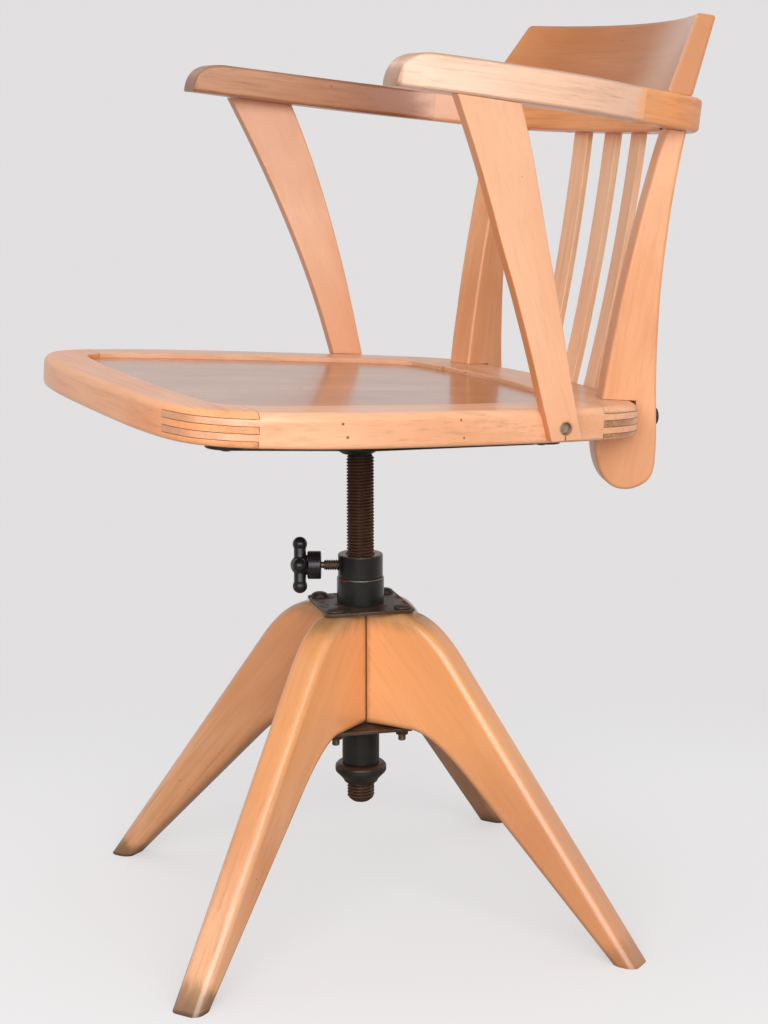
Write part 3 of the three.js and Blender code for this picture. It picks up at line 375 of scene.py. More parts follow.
def bend(start, control, end, samples):
    """A quadratic curve, without its first point."""
    t = np.linspace(0, 1, samples + 1)[1:, None]
    start, control, end = (np.array(p, float) for p in (start, control, end))
    return ((1 - t) ** 2 * start + 2 * t * (1 - t) * control + t ** 2 * end).tolist()


def closed_half(half, samples):
    """A closed outline from its +X half and the mirror image."""
    other = [(-x, y) for x, y in half if x > 0][::-1]
    return smooth_line([*half, *other, half[0]], samples)[:-1]


def counter_clockwise(outline):
    points = np.array(outline, float)
    following = np.roll(points, -1, 0)
    area = (points[:, 0] * following[:, 1] - following[:, 0] * points[:, 1]).sum()
    return points if area > 0 else points[::-1]


def inset(outline, distance):
    """Moves each point of a counter-clockwise outline inwards, square to its edges."""
    edge = np.roll(outline, -1, 0) - outline
    normal = np.stack([-edge[:, 1], edge[:, 0]], 1)
    normal /= np.maximum(np.linalg.norm(normal, axis=1, keepdims=True), 1e-9)
    before = np.roll(normal, 1, 0)
    spread = np.maximum(1 + (normal * before).sum(1, keepdims=True), 0.4)
    return outline + distance * (normal + before) / spread


def rounding(radius, steps, upper, top=0.0):
    """(inset, height, wear) rings of a rounded edge, listed upwards; wear is 1 in the middle of the round."""
    rings = []
    for k in range(steps + 1):
        angle = k / steps * math.pi / 2
        wear = math.sin(2 * angle)
        if upper:
            rings.append((radius * (1 - math.cos(angle)), top - radius * (1 - math.sin(angle)), wear))
        else:
            rings.append((radius * (1 - math.sin(angle)), radius * (1 - math.cos(angle)), wear))
    return rings


def link(name, vertices, faces, wear=None):
    mesh = bpy.data.meshes.new(name)
    mesh.from_pydata([tuple(v) for v in vertices], [], faces)
    values = mesh.attributes.new("edge", "FLOAT", "POINT")
    if wear is not None:
        values.data.foreach_set("value", np.array(wear, np.float32))
    mesh.validate()
    mesh.update()
    made = bpy.data.objects.new(name, mesh)
    bpy.context.scene.collection.objects.link(made)
    return made


def loft(name, rings, wear, caps=True, closed=False):
    """Joins rings of equal length by quads; the first and last get flat ends unless the loft closes."""
    count = len(rings[0])
    faces = []
    for k in range(len(rings) - (0 if closed else 1)):
        low, high = k * count, (k + 1) % len(rings) * count
        for i in range(count):
            j = (i + 1) % count
            faces.append((low + i, low + j, high + j, high + i))
    if caps and not closed:
        faces.append(tuple(range(count))[::-1])
        faces.append(tuple(range((len(rings) - 1) * count, len(rings) * count)))
    return link(name, np.concatenate(rings), faces, np.concatenate(wear))


def board(name, outline, thickness, low=0.0, high=0.0, steps=5):
    """A flat board on Z = 0 with rounded lower and upper edges."""
    outline = counter_clockwise(outline)
    levels = rounding(low, steps, False) if low else [(0, 0, 0)]
    levels += rounding(high, steps, True, thickness) if high else [(0, thickness, 0)]
    rings, wear = [], []
    for depth, height, value in levels:
        ring = inset(outline, depth)
        rings.append(np.column_stack([ring, np.full(len(ring), height)]))
        wear.append(np.full(len(ring), value))
    return loft(name, rings, wear)


def corner_wear(profile):
    """1 where a profile turns sharply, 0 on its straight and gently curved parts."""
    points = np.array(profile, float)
    before, after = points - np.roll(points, 1, 0), np.roll(points, -1, 0) - points
    turn = np.arctan2(before[:, 0] * after[:, 1] - before[:, 1] * after[:, 0], (before * after).sum(1))
    return np.clip((np.degrees(turn) - 12) / 18, 0, 1) * (points[:, 0] > 0)


def turned(name, profile, facets=64):
    """A turned piece from its closed half profile, listed upwards as (radius, height)."""
    angles = np.linspace(0, 2 * math.pi, facets, endpoint=False)
    on_axis = [radius <= 0 for radius, _ in profile]
    vertices, rows, wear = [], [], []
    for (radius, height), pole, value in zip(profile, on_axis, corner_wear(profile)):
        if pole:
            rows.append([len(vertices)] * facets)
            vertices.append((0, 0, height))
            wear.append(0)
            continue
        rows.append(list(range(len(vertices), len(vertices) + facets)))
        vertices += [(radius * math.cos(a), radius * math.sin(a), height) for a in angles]
        wear += [value] * facets
    faces = []
    for k in range(len(profile)):
        here, there = rows[k], rows[(k + 1) % len(profile)]
        if on_axis[k] and on_axis[(k + 1) % len(profile)]:
            continue
        for i in range(facets):
            j = (i + 1) % facets
            corners = [here[i], here[j], there[j], there[i]]
            faces.append(tuple(dict.fromkeys(corners)))
    return link(name, vertices, faces, wear)


def rounded_profile(profile, radius, steps=3):
    """Cuts each corner of a closed half profile with a small curve, except on the axis."""
    made = []
    count = len(profile)
    for k, point in enumerate(profile):
        here = np.array(point, float)
        if here[0] <= 0:
            made.append(tuple(here))
            continue
        before, after = np.array(profile[k - 1], float), np.array(profile[(k + 1) % count], float)
        reach_back = min(radius, np.linalg.norm(before - here) / 2.2)
        reach_on = min(radius, np.linalg.norm(after - here) / 2.2)
        start = here + (before - here) / np.linalg.norm(before - here) * reach_back
        end = here + (after - here) / np.linalg.norm(after - here) * reach_on
        made.append(tuple(start))
        made += [tuple(p) for p in bend(start, here, end, steps)]
    return made


def dome(radius, base, height, rim):
    """Half profile of a domed head that stands on base, with an upright rim."""
    angles = np.linspace(0, math.pi / 2, 9)[:-1]
    bow = [(radius * math.cos(a), base + rim + (height - rim) * math.sin(a)) for a in angles]
    return [(radius, base), *bow, (0, base + height)]


def ball(radius, middle):
    """Half profile of a ball."""
    bow = [(radius * math.sin(a), middle - radius * math.cos(a)) for a in np.linspace(0, math.pi, 17)]
    return [(0, middle - radius), *bow[1:-1], (0, middle + radius)]


def rod(name, radius, low, high, facets=32):
    return turned(name, [(0, low), (radius, low), (radius, high), (0, high)], facets)


def block(name, low, high):
    outline = [(low[0], low[1]), (high[0], low[1]), (high[0], high[1]), (low[0], high[1])]
    made = board(name, outline, high[2] - low[2])
    made.data.transform(Matrix.Translation((0, 0, low[2])))
    return made


def put(piece, matrix):
    piece.data.transform(matrix)
    if matrix.determinant() < 0:
        piece.data.flip_normals()
    return piece


def basis(along_x, along_y, along_z, origin=(0, 0, 0)):
    """Carries a flat outline upright: its X, its Y and its thickness go along these."""
    matrix = Matrix((along_x, along_y, along_z)).transposed().to_4x4()
    matrix.translation = Vector(origin)
    return matrix


MIRROR = Matrix.Scale(-1, 4, X)


def copy_of(piece, name, matrix=None):
    made = bpy.data.objects.new(name, piece.data.copy())
    bpy.context.scene.collection.objects.link(made)
    return put(made, matrix) if matrix else made


def discard(*pieces):
    for piece in pieces:
        mesh = piece.data
        bpy.data.objects.remove(piece)
        if not mesh.users:
            bpy.data.meshes.remove(mesh)


def settle(piece):
    """Turns a piece's modifiers into its mesh."""
    graph = bpy.context.evaluated_depsgraph_get()
    mesh = bpy.data.meshes.new_from_object(piece.evaluated_get(graph))
    piece.modifiers.clear()
    old, piece.data = piece.data, mesh
    bpy.data.meshes.remove(old)
    return piece


def work(body, operation, *tools):
    """Joins, cuts or trims a solid with others, which are used up."""
    for tool in tools:
        step = body.modifiers.new("shape", "BOOLEAN")
        step.object = tool
        step.operation = operation
        step.solver = "MANIFOLD"
    settle(body)
    discard(*tools)
    if not body.data.vertices:
        raise RuntimeError(f"{body.name} came out empty")
    return body


def cut(body, *tools):
    return work(body, "DIFFERENCE", *tools)


def trim(body, *tools):
    return work(body, "INTERSECT", *tools)


def join(body, *tools):
    return work(body, "UNION", *tools)


def vertices_of(piece):
    return np.array([v.co for v in piece.data.vertices])


def grain_axes(along, up):
    """Unit directions along a piece's grain, across it and as near to up as they allow."""
    side = along.normalized()
    top = (up - up.dot(side) * side).normalized()
    return side, top.cross(side), top


def write_vectors(mesh, name, vectors):
    """Keeps a length for each axis at every corner of the mesh, in metres."""
    values = mesh.attributes.new(name, "FLOAT_VECTOR", "POINT")
    values.data.foreach_set("vector", (np.array(vectors) * MM).astype(np.float32).ravel())


def lay_grain(piece, middle):
    """Lets the grain follow a line in plan: along it, square to it and upwards."""
    corners = vertices_of(piece)
    steps = np.linalg.norm(np.diff(middle, axis=0), axis=1)
    travelled = np.concatenate([[0], np.cumsum(steps)])
    grain = []
    for corner in corners:
        near = min(int(np.argmin(((middle - corner[:2]) ** 2).sum(1))), len(middle) - 2)
        ahead = (middle[near + 1] - middle[near]) / steps[near]
        offset = corner[:2] - middle[near]
        aside = ahead[0] * offset[1] - ahead[1] * offset[0]
        grain.append((travelled[near] + offset @ ahead, aside, corner[2]))
    write_vectors(piece.data, "grain", grain)


def lay_straight_grain(piece, along, up):
    """Keeps each vertex's place along and across a slanting grain, in metres from the middle of the piece."""
    corners = vertices_of(piece)
    middle = (corners.min(0) + corners.max(0)) / 2
    write_vectors(piece.data, "grain", (corners - middle) @ np.array(grain_axes(along, up)).T)


def finish(piece, material, body, nodes, along=X, up=Z, crisp=38, flat=True):
    """Sets a solid on axes of its own that follow the grain, in metres, and hands it to its body."""
    mesh = piece.data
    turn = Matrix(grain_axes(along, up)).transposed().to_4x4()
    corners = vertices_of(piece)
    middle = Vector((corners.min(0) + corners.max(0)) / 2)
    write_vectors(mesh, "chair", corners)
    mesh.transform((Matrix.Translation(middle) @ turn).inverted())
    mesh.transform(Matrix.Scale(MM, 4))
    piece.matrix_world = Matrix.Translation(middle * MM + AXIS) @ turn
    mesh.shade_smooth()
    mesh.set_sharp_from_angle(angle=math.radians(crisp))
    if flat:
        weigh = piece.modifiers.new("flats stay flat", "WEIGHTED_NORMAL")
        weigh.keep_sharp = True
    mesh.materials.clear()
    mesh.materials.append(material)
    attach(piece, body)
    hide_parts(*nodes)
    return piece


def coat_packed(name, material):
    """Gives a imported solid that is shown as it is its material."""
    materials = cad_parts[name].data.materials
    materials.clear()
    materials.append(material)


# Finishes


class Graph:
    """Adds and links the nodes of one tree."""

    def __init__(self, tree):
        self.tree = tree
        tree.nodes.clear()

    def feed(self, socket, value):
        if isinstance(value, bpy.types.NodeSocket):
            self.tree.links.new(value, socket)
        elif value is not None:
            socket.default_value = value

    def add(self, kind, settings=None, **inputs):
        node = self.tree.nodes.new("ShaderNode" + kind)
        for key, value in (settings or {}).items():
            setattr(node, key, value)
        for key, value in inputs.items():
            self.feed(node.inputs[key.replace("_", " ")], value)
        return node

    def calc(self, operation, first, second=None, clamp=False):
        node = self.tree.nodes.new("ShaderNodeMath")
        node.operation = operation
        node.use_clamp = clamp
        self.feed(node.inputs[0], first)
        self.feed(node.inputs[1], second)
        return node.outputs[0]

    def times(self, first, second):
        return self.calc("MULTIPLY", first, second)

    def plus(self, first, second, clamp=False):
        return self.calc("ADD", first, second, clamp)

    def minus(self, first, second):
        return self.calc("SUBTRACT", first, second)

    def vector(self, operation, first, second=None):
        """A vector, or a number where the operation measures one."""
        node = self.add("VectorMath", {"operation": operation})
        self.feed(node.inputs[0], first)
        self.feed(node.inputs[1], second)
        return node.outputs["Value" if operation in ("LENGTH", "DOT_PRODUCT") else "Vector"]

    def part(self, vector, index):
        return self.add("SeparateXYZ", None, Vector=vector).outputs[index]

    def attribute(self, name, output):
        return self.add("Attribute", {"attribute_name": name}).outputs[output]

    def texture_place(self, output):
        return self.add("TexCoord").outputs[output]

    def ray(self, kind):
        return self.add("LightPath").outputs[f"Is {kind} Ray"]

    def shade_by(self, factor, first, second):
        node = self.add("MixShader")
        for socket, given in zip(node.inputs, (factor, first.outputs[0], second.outputs[0])):
            self.feed(socket, given)
        return node

    def bump(self, shader, strength, distance, height):
        node = self.add("Bump", None, Strength=strength, Distance=distance, Height=height)
        self.feed(shader.inputs["Normal"], node.outputs[0])

    def blend(self, first, second, factor, mode="MIX"):
        node = self.tree.nodes.new("ShaderNodeMix")
        node.data_type = "RGBA"
        node.blend_type = mode
        self.feed(node.inputs[0], factor)
        self.feed(node.inputs[6], rgba(first))
        self.feed(node.inputs[7], rgba(second))
        return node.outputs[2]

    def remap(self, value, low, high, to_low=0.0, to_high=1.0, smooth=True):
        node = self.tree.nodes.new("ShaderNodeMapRange")
        if smooth:
            node.interpolation_type = "SMOOTHSTEP"
        for socket, given in zip(node.inputs, (value, low, high, to_low, to_high)):
            self.feed(socket, given)
        return node.outputs[0]

    def stretch(self, vector, x, y, z):
        return self.vector("MULTIPLY", vector, (x, y, z))

    def noise(self, vector, scale, detail=2.0, rough=0.5, distortion=0.0):
        return self.add(
            "TexNoise", None, Vector=vector, Scale=scale, Detail=detail, Roughness=rough,
            Distortion=distortion,
        ).outputs["Fac"]


def rgba(value):
    if isinstance(value, bpy.types.NodeSocket):
        return value
    return (*value, 1.0) if len(value) == 3 else value


def new_group(name, inputs, outputs):
    tree = bpy.data.node_groups.new(name, "ShaderNodeTree")
    graph = Graph(tree)
    for title, kind, default in inputs:
        socket = tree.interface.new_socket(name=title, in_out="INPUT", socket_type="NodeSocket" + kind)
        if default is not None:
            socket.default_value = default
    for title, kind in outputs:
        tree.interface.new_socket(name=title, in_out="OUTPUT", socket_type="NodeSocket" + kind)
    entry = tree.nodes.new("NodeGroupInput")
    leave = tree.nodes.new("NodeGroupOutput")
    return tree, graph, entry.outputs, leave.inputs


def grain_group():
    """Long grain of beech: growth bands, fine streaks, ray flecks and slow clouds of tone."""
    tree, g, given, result = new_group(
        "Beech grain",
        [("Vector", "Vector", None), ("Seed", "Float", 0.0)],
        [("Bands", "Float"), ("Fibres", "Float"), ("Streaks", "Float"), ("Flecks", "Float"),
         ("Clouds", "Float")],
    )
    shift = g.add("CombineXYZ")
    for index, factor in enumerate((1.37, 0.71, 2.03)):
        g.feed(shift.inputs[index], g.times(given["Seed"], factor))
    here = g.vector("ADD", given["Vector"], shift.outputs[0])
    wander = g.noise(g.stretch(here, 2.2, 9, 9), 1, 1)
    slope = g.plus(g.times(g.part(here, 1), 150), g.times(g.part(here, 2), 90))
    phase = g.plus(slope, g.times(wander, 34))
    g.feed(result["Bands"], g.remap(g.calc("SINE", phase), -1, 1, smooth=False))
    g.feed(result["Fibres"], g.noise(g.stretch(here, 6, 165, 165), 1, 5, 0.68))
    g.feed(result["Streaks"], g.noise(g.stretch(here, 11, 420, 420), 1, 4, 0.62))
    flecks = g.noise(g.stretch(here, 330, 1500, 1500), 1, 1, 0.5)
    g.feed(result["Flecks"], g.remap(flecks, 0.6, 0.72))
    g.feed(result["Clouds"], g.noise(g.stretch(here, 5, 13, 13), 1, 3, 0.55, 0.4))
    return tree


def wear_group():
    """Rubbed patches along rounded edges."""
    tree, g, given, result = new_group(
        "Edge wear",
        [("Vector", "Vector", None), ("Edge", "Float", 0.0), ("Amount", "Float", 0.5)],
        [("Mask", "Float")],
    )
    patches = g.noise(g.stretch(given["Vector"], 38, 60, 60), 1, 4, 0.6)
    lift = g.plus(g.times(given["Edge"], 0.62), g.times(patches, 0.75))
    limit = g.minus(1.12, g.times(given["Amount"], 0.5))
    g.feed(result["Mask"], g.remap(lift, g.minus(limit, 0.16), limit))
    return tree


def speck_group():
    """Scattered small dots such as worm holes and nicks."""
    tree, g, given, result = new_group(
        "Specks",
        [("Vector", "Vector", None), ("Scale", "Float", 60.0), ("Size", "Float", 0.05),
         ("Share", "Float", 0.2)],
        [("Mask", "Float")],
    )
    cells = g.add("TexVoronoi", None, Vector=given["Vector"], Scale=given["Scale"])
    pick = g.add("SeparateColor", None, Color=cells.outputs["Color"])
    chosen = g.calc("LESS_THAN", pick.outputs[0], given["Share"])
    dot = g.remap(cells.outputs["Distance"], given["Size"], g.times(given["Size"], 0.6))
    g.feed(result["Mask"], g.times(chosen, dot))
    return tree


def rust_group():
    """Patches of rust with a fine grit."""
    tree, g, given, result = new_group(
        "Rust bloom",
        [("Vector", "Vector", None), ("Amount", "Float", 0.4)],
        [("Mask", "Float"), ("Grit", "Float")],
    )
    patches = g.noise(g.stretch(given["Vector"], 90, 90, 90), 1, 5, 0.62, 0.5)
    limit = g.minus(0.86, g.times(given["Amount"], 0.6))
    g.feed(result["Mask"], g.remap(patches, g.minus(limit, 0.12), limit))
    g.feed(result["Grit"], g.noise(given["Vector"], 900, 3, 0.6))
    return tree


def shared(name, make):
    return bpy.data.node_groups.get(name) or make()


def use(graph, name, make, **inputs):
    node = graph.tree.nodes.new("ShaderNodeGroup")
    node.node_tree = shared(name, make)
    for key, value in inputs.items():
        graph.feed(node.inputs[key], value)
    return node.outputs


def new_material(name):
    material = bpy.data.materials.new(name)
    material.use_nodes = True
    graph = Graph(material.node_tree)
    shader = graph.add("BsdfPrincipled")
    out = graph.add("OutputMaterial")
    graph.tree.links.new(shader.outputs[0], out.inputs["Surface"])
    return material, graph, shader


def darker(shade, share):
    return tuple(channel * share for channel in shade)


def ripple(g, place, stretch, reach):
    """An uneven shift about nought that makes the edge of a mask ragged."""
    return g.times(g.minus(g.noise(g.stretch(place, *stretch), 1, 4, 0.6), 0.5), reach)


def zone_mask(g, place, axis, start, end, ragged):
    """1 past end and 0 before start along one of the piece's own axes, or along a direction of the chair."""
    if isinstance(axis, str):
        along = g.part(place, "XYZ".index(axis))
    else:
        along = g.vector("DOT_PRODUCT", g.attribute("chair", "Vector"), axis)
    return g.remap(g.plus(along, ripple(g, place, (45, 130, 130), ragged)), start, end)


def spot_mask(g, place, centre, size, ragged):
    """1 inside an uneven spot round a point of the chair; its size is a radius for each axis."""
    offset = g.vector("SUBTRACT", g.attribute("chair", "Vector"), [c * MM for c in centre])
    away = g.vector("LENGTH", g.stretch(offset, *(1 / (s * MM) for s in size)))
    return g.remap(g.plus(away, ripple(g, place, (90, 260, 260), ragged)), 1.15, 0.75)


def stained(g, base, place, zones, spots):
    """Lays zones of (axis, start, end, ragged, colour, strength) and spots of (centre, size, ragged, ...).

    A zone's places are in metres and a spot's in millimetres.
    """
    for mask, stains in ((zone_mask, zones), (spot_mask, spots)):
        for *shape, shade, strength in stains:
            base = g.blend(base, shade, g.times(mask(g, place, *shape), strength))
    return base


def wood(name, light, deep, seed, zones=(), spots=(), rough=0.42, coat=0.1, wear=0.3, worn=None, rub=0.2,
         bands=0.25, fibres=0.5, streaks=0.5, flecks=0.14, specks=0.06, ends=0.6, polish=0.14, curved=False,
         painted_face_shade=None):
    """Varnished beech, its grain along the piece or, where the piece is curved, along its own line."""
    colours = bpy.context.scene.chair_colours
    material, g, shader = new_material(name)
    place = g.attribute("grain", "Vector") if curved else g.texture_place("Object")
    grain = use(g, "Beech grain", grain_group, Vector=place, Seed=seed)
    body = g.plus(g.times(grain["Bands"], bands), g.times(grain["Clouds"], 1.15 - bands))
    base = g.blend(light, deep, g.remap(body, 0.3, 0.9))
    base = g.blend(base, darker(deep, 0.7), g.times(g.remap(grain["Fibres"], 0.48, 0.74), fibres))
    base = g.blend(base, darker(deep, 0.6), g.times(g.remap(grain["Streaks"], 0.5, 0.78), streaks))
    base = g.blend(base, darker(deep, 0.55), g.times(grain["Flecks"], flecks))
    square = g.texture_place("Normal")
    facing = g.calc("ABSOLUTE", g.part(square, 0))
    cross = g.times(g.remap(facing, 0.72, 0.97), ends)
    pores = g.noise(g.stretch(place, 500, 700, 700), 1, 2)
    pored = g.blend(colours.end_grain, darker(colours.end_grain, 0.25), g.remap(pores, 0.42, 0.66))
    base = g.blend(base, pored, cross)
    # Painted shade: faces turned along one of the piece's own axes get a darker colour multiplied in, for the
    # light that falls less on them.
    if painted_face_shade:
        side, shade = painted_face_shade
        base = g.blend(base, shade, g.remap(g.part(square, side), 0.5, 0.95, 0, 0.9), "MULTIPLY")
    base = stained(g, base, place, zones, spots)
    edge = g.attribute("edge", "Fac")
    rubbed = use(g, "Edge wear", wear_group, Vector=place, Edge=edge, Amount=wear)["Mask"]
    base = g.blend(base, worn or tuple(min(1, c * 1.18) for c in light), g.times(rubbed, rub))
    holes = use(g, "Specks", speck_group, Vector=place, Scale=55.0, Size=0.055, Share=specks)["Mask"]
    base = g.blend(base, colours.grime, g.times(holes, 0.85))
    g.feed(shader.inputs["Base Color"], base)
    finish_level = g.plus(g.times(grain["Clouds"], polish), rough - polish / 2)
    g.feed(shader.inputs["Roughness"], g.plus(finish_level, g.times(cross, 0.2), clamp=True))
    shader.inputs["Coat Weight"].default_value = coat
    shader.inputs["Coat Roughness"].default_value = 0.14
    relief = g.minus(g.times(grain["Streaks"], 0.5), g.times(holes, 2.0))
    relief = g.minus(relief, g.times(grain["Flecks"], 0.15))
    g.bump(shader, 0.3, 0.0004, relief)
    return material


def iron(name, shade, rust_share, rough=0.42, metallic=0.55, bare=0.35, seed=0.0, zones=(), spots=(),
         hollow_shade=0.0):
    """Blackened iron with worn edges and rust, with painted shade that can darken all but the edges, as in a
    thread's grooves.
    """
    colours = bpy.context.scene.chair_colours
    material, g, shader = new_material(name)
    place = g.vector("ADD", g.texture_place("Object"), (seed, seed * 0.7, seed * 1.3))
    rust = use(g, "Rust bloom", rust_group, Vector=place, Amount=rust_share)
    cloud = g.noise(place, 45, 3, 0.6)
    base = g.blend(shade, darker(shade, 0.6), g.remap(cloud, 0.35, 0.7))
    edge = g.attribute("edge", "Fac")
    rubbed = use(g, "Edge wear", wear_group, Vector=place, Edge=edge, Amount=bare)["Mask"]
    base = g.blend(base, colours.iron_bare, g.times(rubbed, 0.7))
    base = stained(g, base, place, zones, spots)
    flakes = g.blend(colours.rust, darker(colours.rust, 0.5), g.remap(rust["Grit"], 0.35, 0.65))
    base = g.blend(base, flakes, rust["Mask"])
    # Painted shade: all but the edges go towards black, for the shade in the grooves and recesses.
    if hollow_shade:
        base = g.blend(base, (0.004, 0.003, 0.002), g.remap(edge, 0.75, 0.15, 0, hollow_shade))
    g.feed(shader.inputs["Base Color"], base)
    g.feed(shader.inputs["Metallic"], g.remap(rust["Mask"], 0, 1, metallic, 0.1, smooth=False))
    level = g.plus(g.times(cloud, 0.16), rough - 0.08)
    g.feed(shader.inputs["Roughness"], g.plus(level, g.times(rust["Mask"], 0.3), clamp=True))
    relief = g.plus(g.times(rust["Grit"], 0.4), g.times(rust["Mask"], 0.5))
    g.bump(shader, 0.4, 0.0003, relief)
    return material


def moulded(name, shade):
    """Black moulded resin, a little dusty in patches."""
    material, g, shader = new_material(name)
    place = g.texture_place("Object")
    cloud = g.noise(place, 70, 3, 0.6)
    dust = g.remap(cloud, 0.55, 0.75)
    g.feed(shader.inputs["Base Color"], g.blend(shade, tone(60, 62, 54), g.times(dust, 0.15)))
    g.feed(shader.inputs["Roughness"], g.remap(cloud, 0.3, 0.7, 0.22, 0.4, smooth=False))
    g.bump(shader, 0.15, 0.0003, g.noise(place, 260, 2))
    return material


def bright(name, shade, rough=0.36, metallic=0.85):
    """Turned steel with tarnish and fine tool marks."""
    colours = bpy.context.scene.chair_colours
    material, g, shader = new_material(name)
    place = g.texture_place("Object")
    tarnish = g.remap(g.noise(place, 320, 4, 0.6), 0.4, 0.68)
    marks = g.noise(g.stretch(place, 200, 200, 2600), 1, 2)
    base = g.blend(shade, darker(colours.rust, 1.5), g.times(tarnish, 0.6))
    g.feed(shader.inputs["Base Color"], base)
    shader.inputs["Metallic"].default_value = metallic
    g.feed(shader.inputs["Roughness"], g.plus(g.times(tarnish, 0.25), rough, clamp=True))
    g.bump(shader, 0.2, 0.0002, marks)
    return material


def black_iron(name, seed=0.0, rust_share=0.3, **more):
    return iron(name, bpy.context.scene.chair_colours.iron, rust_share, seed=seed, **more)


# Pieces


def millimetres(value):
    return value / MM


class ChairStep(bpy.types.Operator):
    """One piece of the chair, or a group of like pieces"""
    bl_options = {"REGISTER", "UNDO"}

    def execute(self, context):
        self.build(context.scene.chair_sizes, context.scene.chair_colours)
        return {"FINISHED"}


def leg_turn(k):
    return Matrix.Rotation(LEG_HEADING + k * math.tau / LEG_COUNT, 4, "Z")


def leg_outline(edge):
    foot = FOOT_REACH - FOOT_LENGTH

    def outer(height):
        return FOOT_REACH - height * (FOOT_REACH - SHOULDER[1]) / SHOULDER[2]

    def inner(height):
        return foot - height * (foot - CROTCH[1]) / CROTCH[2]

    below = -OVERRUN - edge
    line = [(-LEG_THICKNESS, LEG_UNDERSIDE), (CROTCH[0], LEG_UNDERSIDE)]
    line += bend(line[-1], (inner(LEG_UNDERSIDE), LEG_UNDERSIDE), CROTCH[1:], CURVE_STEPS)
    line += [(inner(below), below), (outer(below), below), SHOULDER[1:]]
    line += bend(SHOULDER[1:], (outer(LEG_TOP), LEG_TOP), (SHOULDER[0], LEG_TOP), CURVE_STEPS)
    return [*line, (-LEG_THICKNESS, LEG_TOP)]


class CHAIR_OT_legs(ChairStep):
    """Four slab legs, mitred round the swivel tube"""
    bl_idname = "chair.legs"
    bl_label = "Legs"

    def build(self, sizes, colours):
        edge = millimetres(sizes.leg_edge)
        slab = board("leg", leg_outline(edge), LEG_THICKNESS, edge, edge, LEG_ROUNDING_STEPS)
        put(slab, basis(X, Z, -Y) @ Matrix.Translation((0, 0, -LEG_THICKNESS / 2)))
        apex, reach = LEG_SEAM * math.sqrt(2), FOOT_REACH + FAR
        wedge = board("wedge", [(apex, 0), (reach, apex - reach), (reach, reach - apex)], LEG_TOP + OVERRUN)
        trim(slab, wedge)
        tube = rod("tube", HOUSING_RADIUS + GAP, 0, LEG_TOP + OVERRUN, 64)
        bolt = rod("bolt", BODY_BOLT_RADIUS + GAP, 0, LEG_TOP + OVERRUN)
        put(bolt, Matrix.Translation((BODY_BOLT_CIRCLE, 0, 0)))
        cut(slab, tube, bolt)
        # Painted shade: legs 3 and 4 take darker copies of the leg colours, for the shade on the back and far
        # legs.
        lit_and_shaded_tones = [
            (colours.leg_light, colours.leg_deep, 0.37), (colours.leg_light, colours.leg_deep, 1.9),
            (darker(colours.leg_light, 0.62), darker(colours.leg_deep, 0.55), 3.1),
            (darker(colours.leg_light, 0.9), darker(colours.leg_deep, 0.86), 4.6),
        ]
        for k, (light, deep, seed) in enumerate(lit_and_shaded_tones):
            turn = leg_turn(k)
            outward, aside = turn.to_3x3() @ X, turn.to_3x3() @ Y
            brown = darker(deep, 0.3)
            zones = [
                ("X", 0.166, 0.186, 0.03, tone(150, 116, 84), 0.75),
                (-Z, -0.02, -0.002, 0.018, tone(104, 76, 52), 0.5),
                (-Z, -0.004, -0.001, 0.002, colours.grime, 0.7),
                (outward - aside, 0.006, 0.0012, 0.007, brown, 0.8),
                (outward + aside, 0.006, 0.0012, 0.007, brown, 0.8),
                # Painted light: the two front legs are lightened above about 0.12 m; the two back legs are
                # darkened there as painted shade.
                (Z, 0.12, 0.2, 0.05, tone(250, 172, 100) if k < 2 else deep, 0.5),
                (Z, 0.274, 0.296, 0.022, tone(140, 120, 84), 0.6),
            ]
            if k == 1:
                zones.append((-Z, -0.21, -0.09, 0.05, tone(208, 138, 90), 0.6))
            material = wood(f"Leg beech {k + 1}", light, deep, seed, zones,
                            rough=0.32, coat=0.7, wear=0.3, rub=0.08, bands=0.1, fibres=0.4, specks=0.02,
                            ends=0,
                            curved=True)
            leg = copy_of(slab, f"leg_{k + 1}_wood", turn)
            lay_straight_grain(leg, turn.to_3x3() @ LEG_GRAIN, aside)
            finish(leg, material, "base", [f"leg_{k + 1}"], outward)
        discard(slab)


TOP_PLATE = LEG_TOP + GAP
TOP_PLATE_TOP = TOP_PLATE + PLATE_THICKNESS
BOTTOM_PLATE = LEG_UNDERSIDE - GAP - PLATE_THICKNESS
NUT_TOP = BOTTOM_PLATE - GAP


def bolt_place(k):
    return leg_turn(k) @ Matrix.Translation((BODY_BOLT_CIRCLE, 0, 0))


class CHAIR_OT_plates(ChairStep):
    """Iron plates above and below the legs"""
    bl_idname = "chair.plates"
    bl_label = "Plates"

    def build(self, sizes, colours):
        half, clip = PLATE_SIDE / 2, PLATE_CORNER
        corners = [
            (half - clip, -half), (half, clip - half), (half, half - clip), (half - clip, half),
            (clip - half, half), (-half, half - clip), (-half, clip - half), (clip - half, -half),
        ]
        edge = millimetres(sizes.plate_edge)
        for name, bottom in (("top_plate", TOP_PLATE), ("bottom_plate", BOTTOM_PLATE)):
            plate = board(name, corners, PLATE_THICKNESS, edge, edge, 3)
            turn = Matrix.Rotation(LEG_HEADING + math.pi / 4, 4, "Z")
            put(plate, Matrix.Translation((0, 0, bottom)) @ turn)
            low, high = bottom - OVERRUN, bottom + PLATE_THICKNESS + OVERRUN
            tools = [rod("tube", HOUSING_RADIUS + GAP, low, high, 64)]
            for k in range(LEG_COUNT):
                tools.append(put(rod("hole", BODY_BOLT_RADIUS + GAP, low, high), bolt_place(k)))
            cut(plate, *tools)
            plate.name = f"{name}_iron"
            patch = [((38, 18, bottom + PLATE_THICKNESS), (16, 22, 20), 0.8, tone(74, 46, 28), 0.7)]
            material = iron(f"Plate iron {name}", tone(90, 80, 68), 0.4, rough=0.46, bare=1.0, seed=0.3,
                            spots=patch)
            finish(plate, material, "base", [name], turn.to_3x3() @ X)


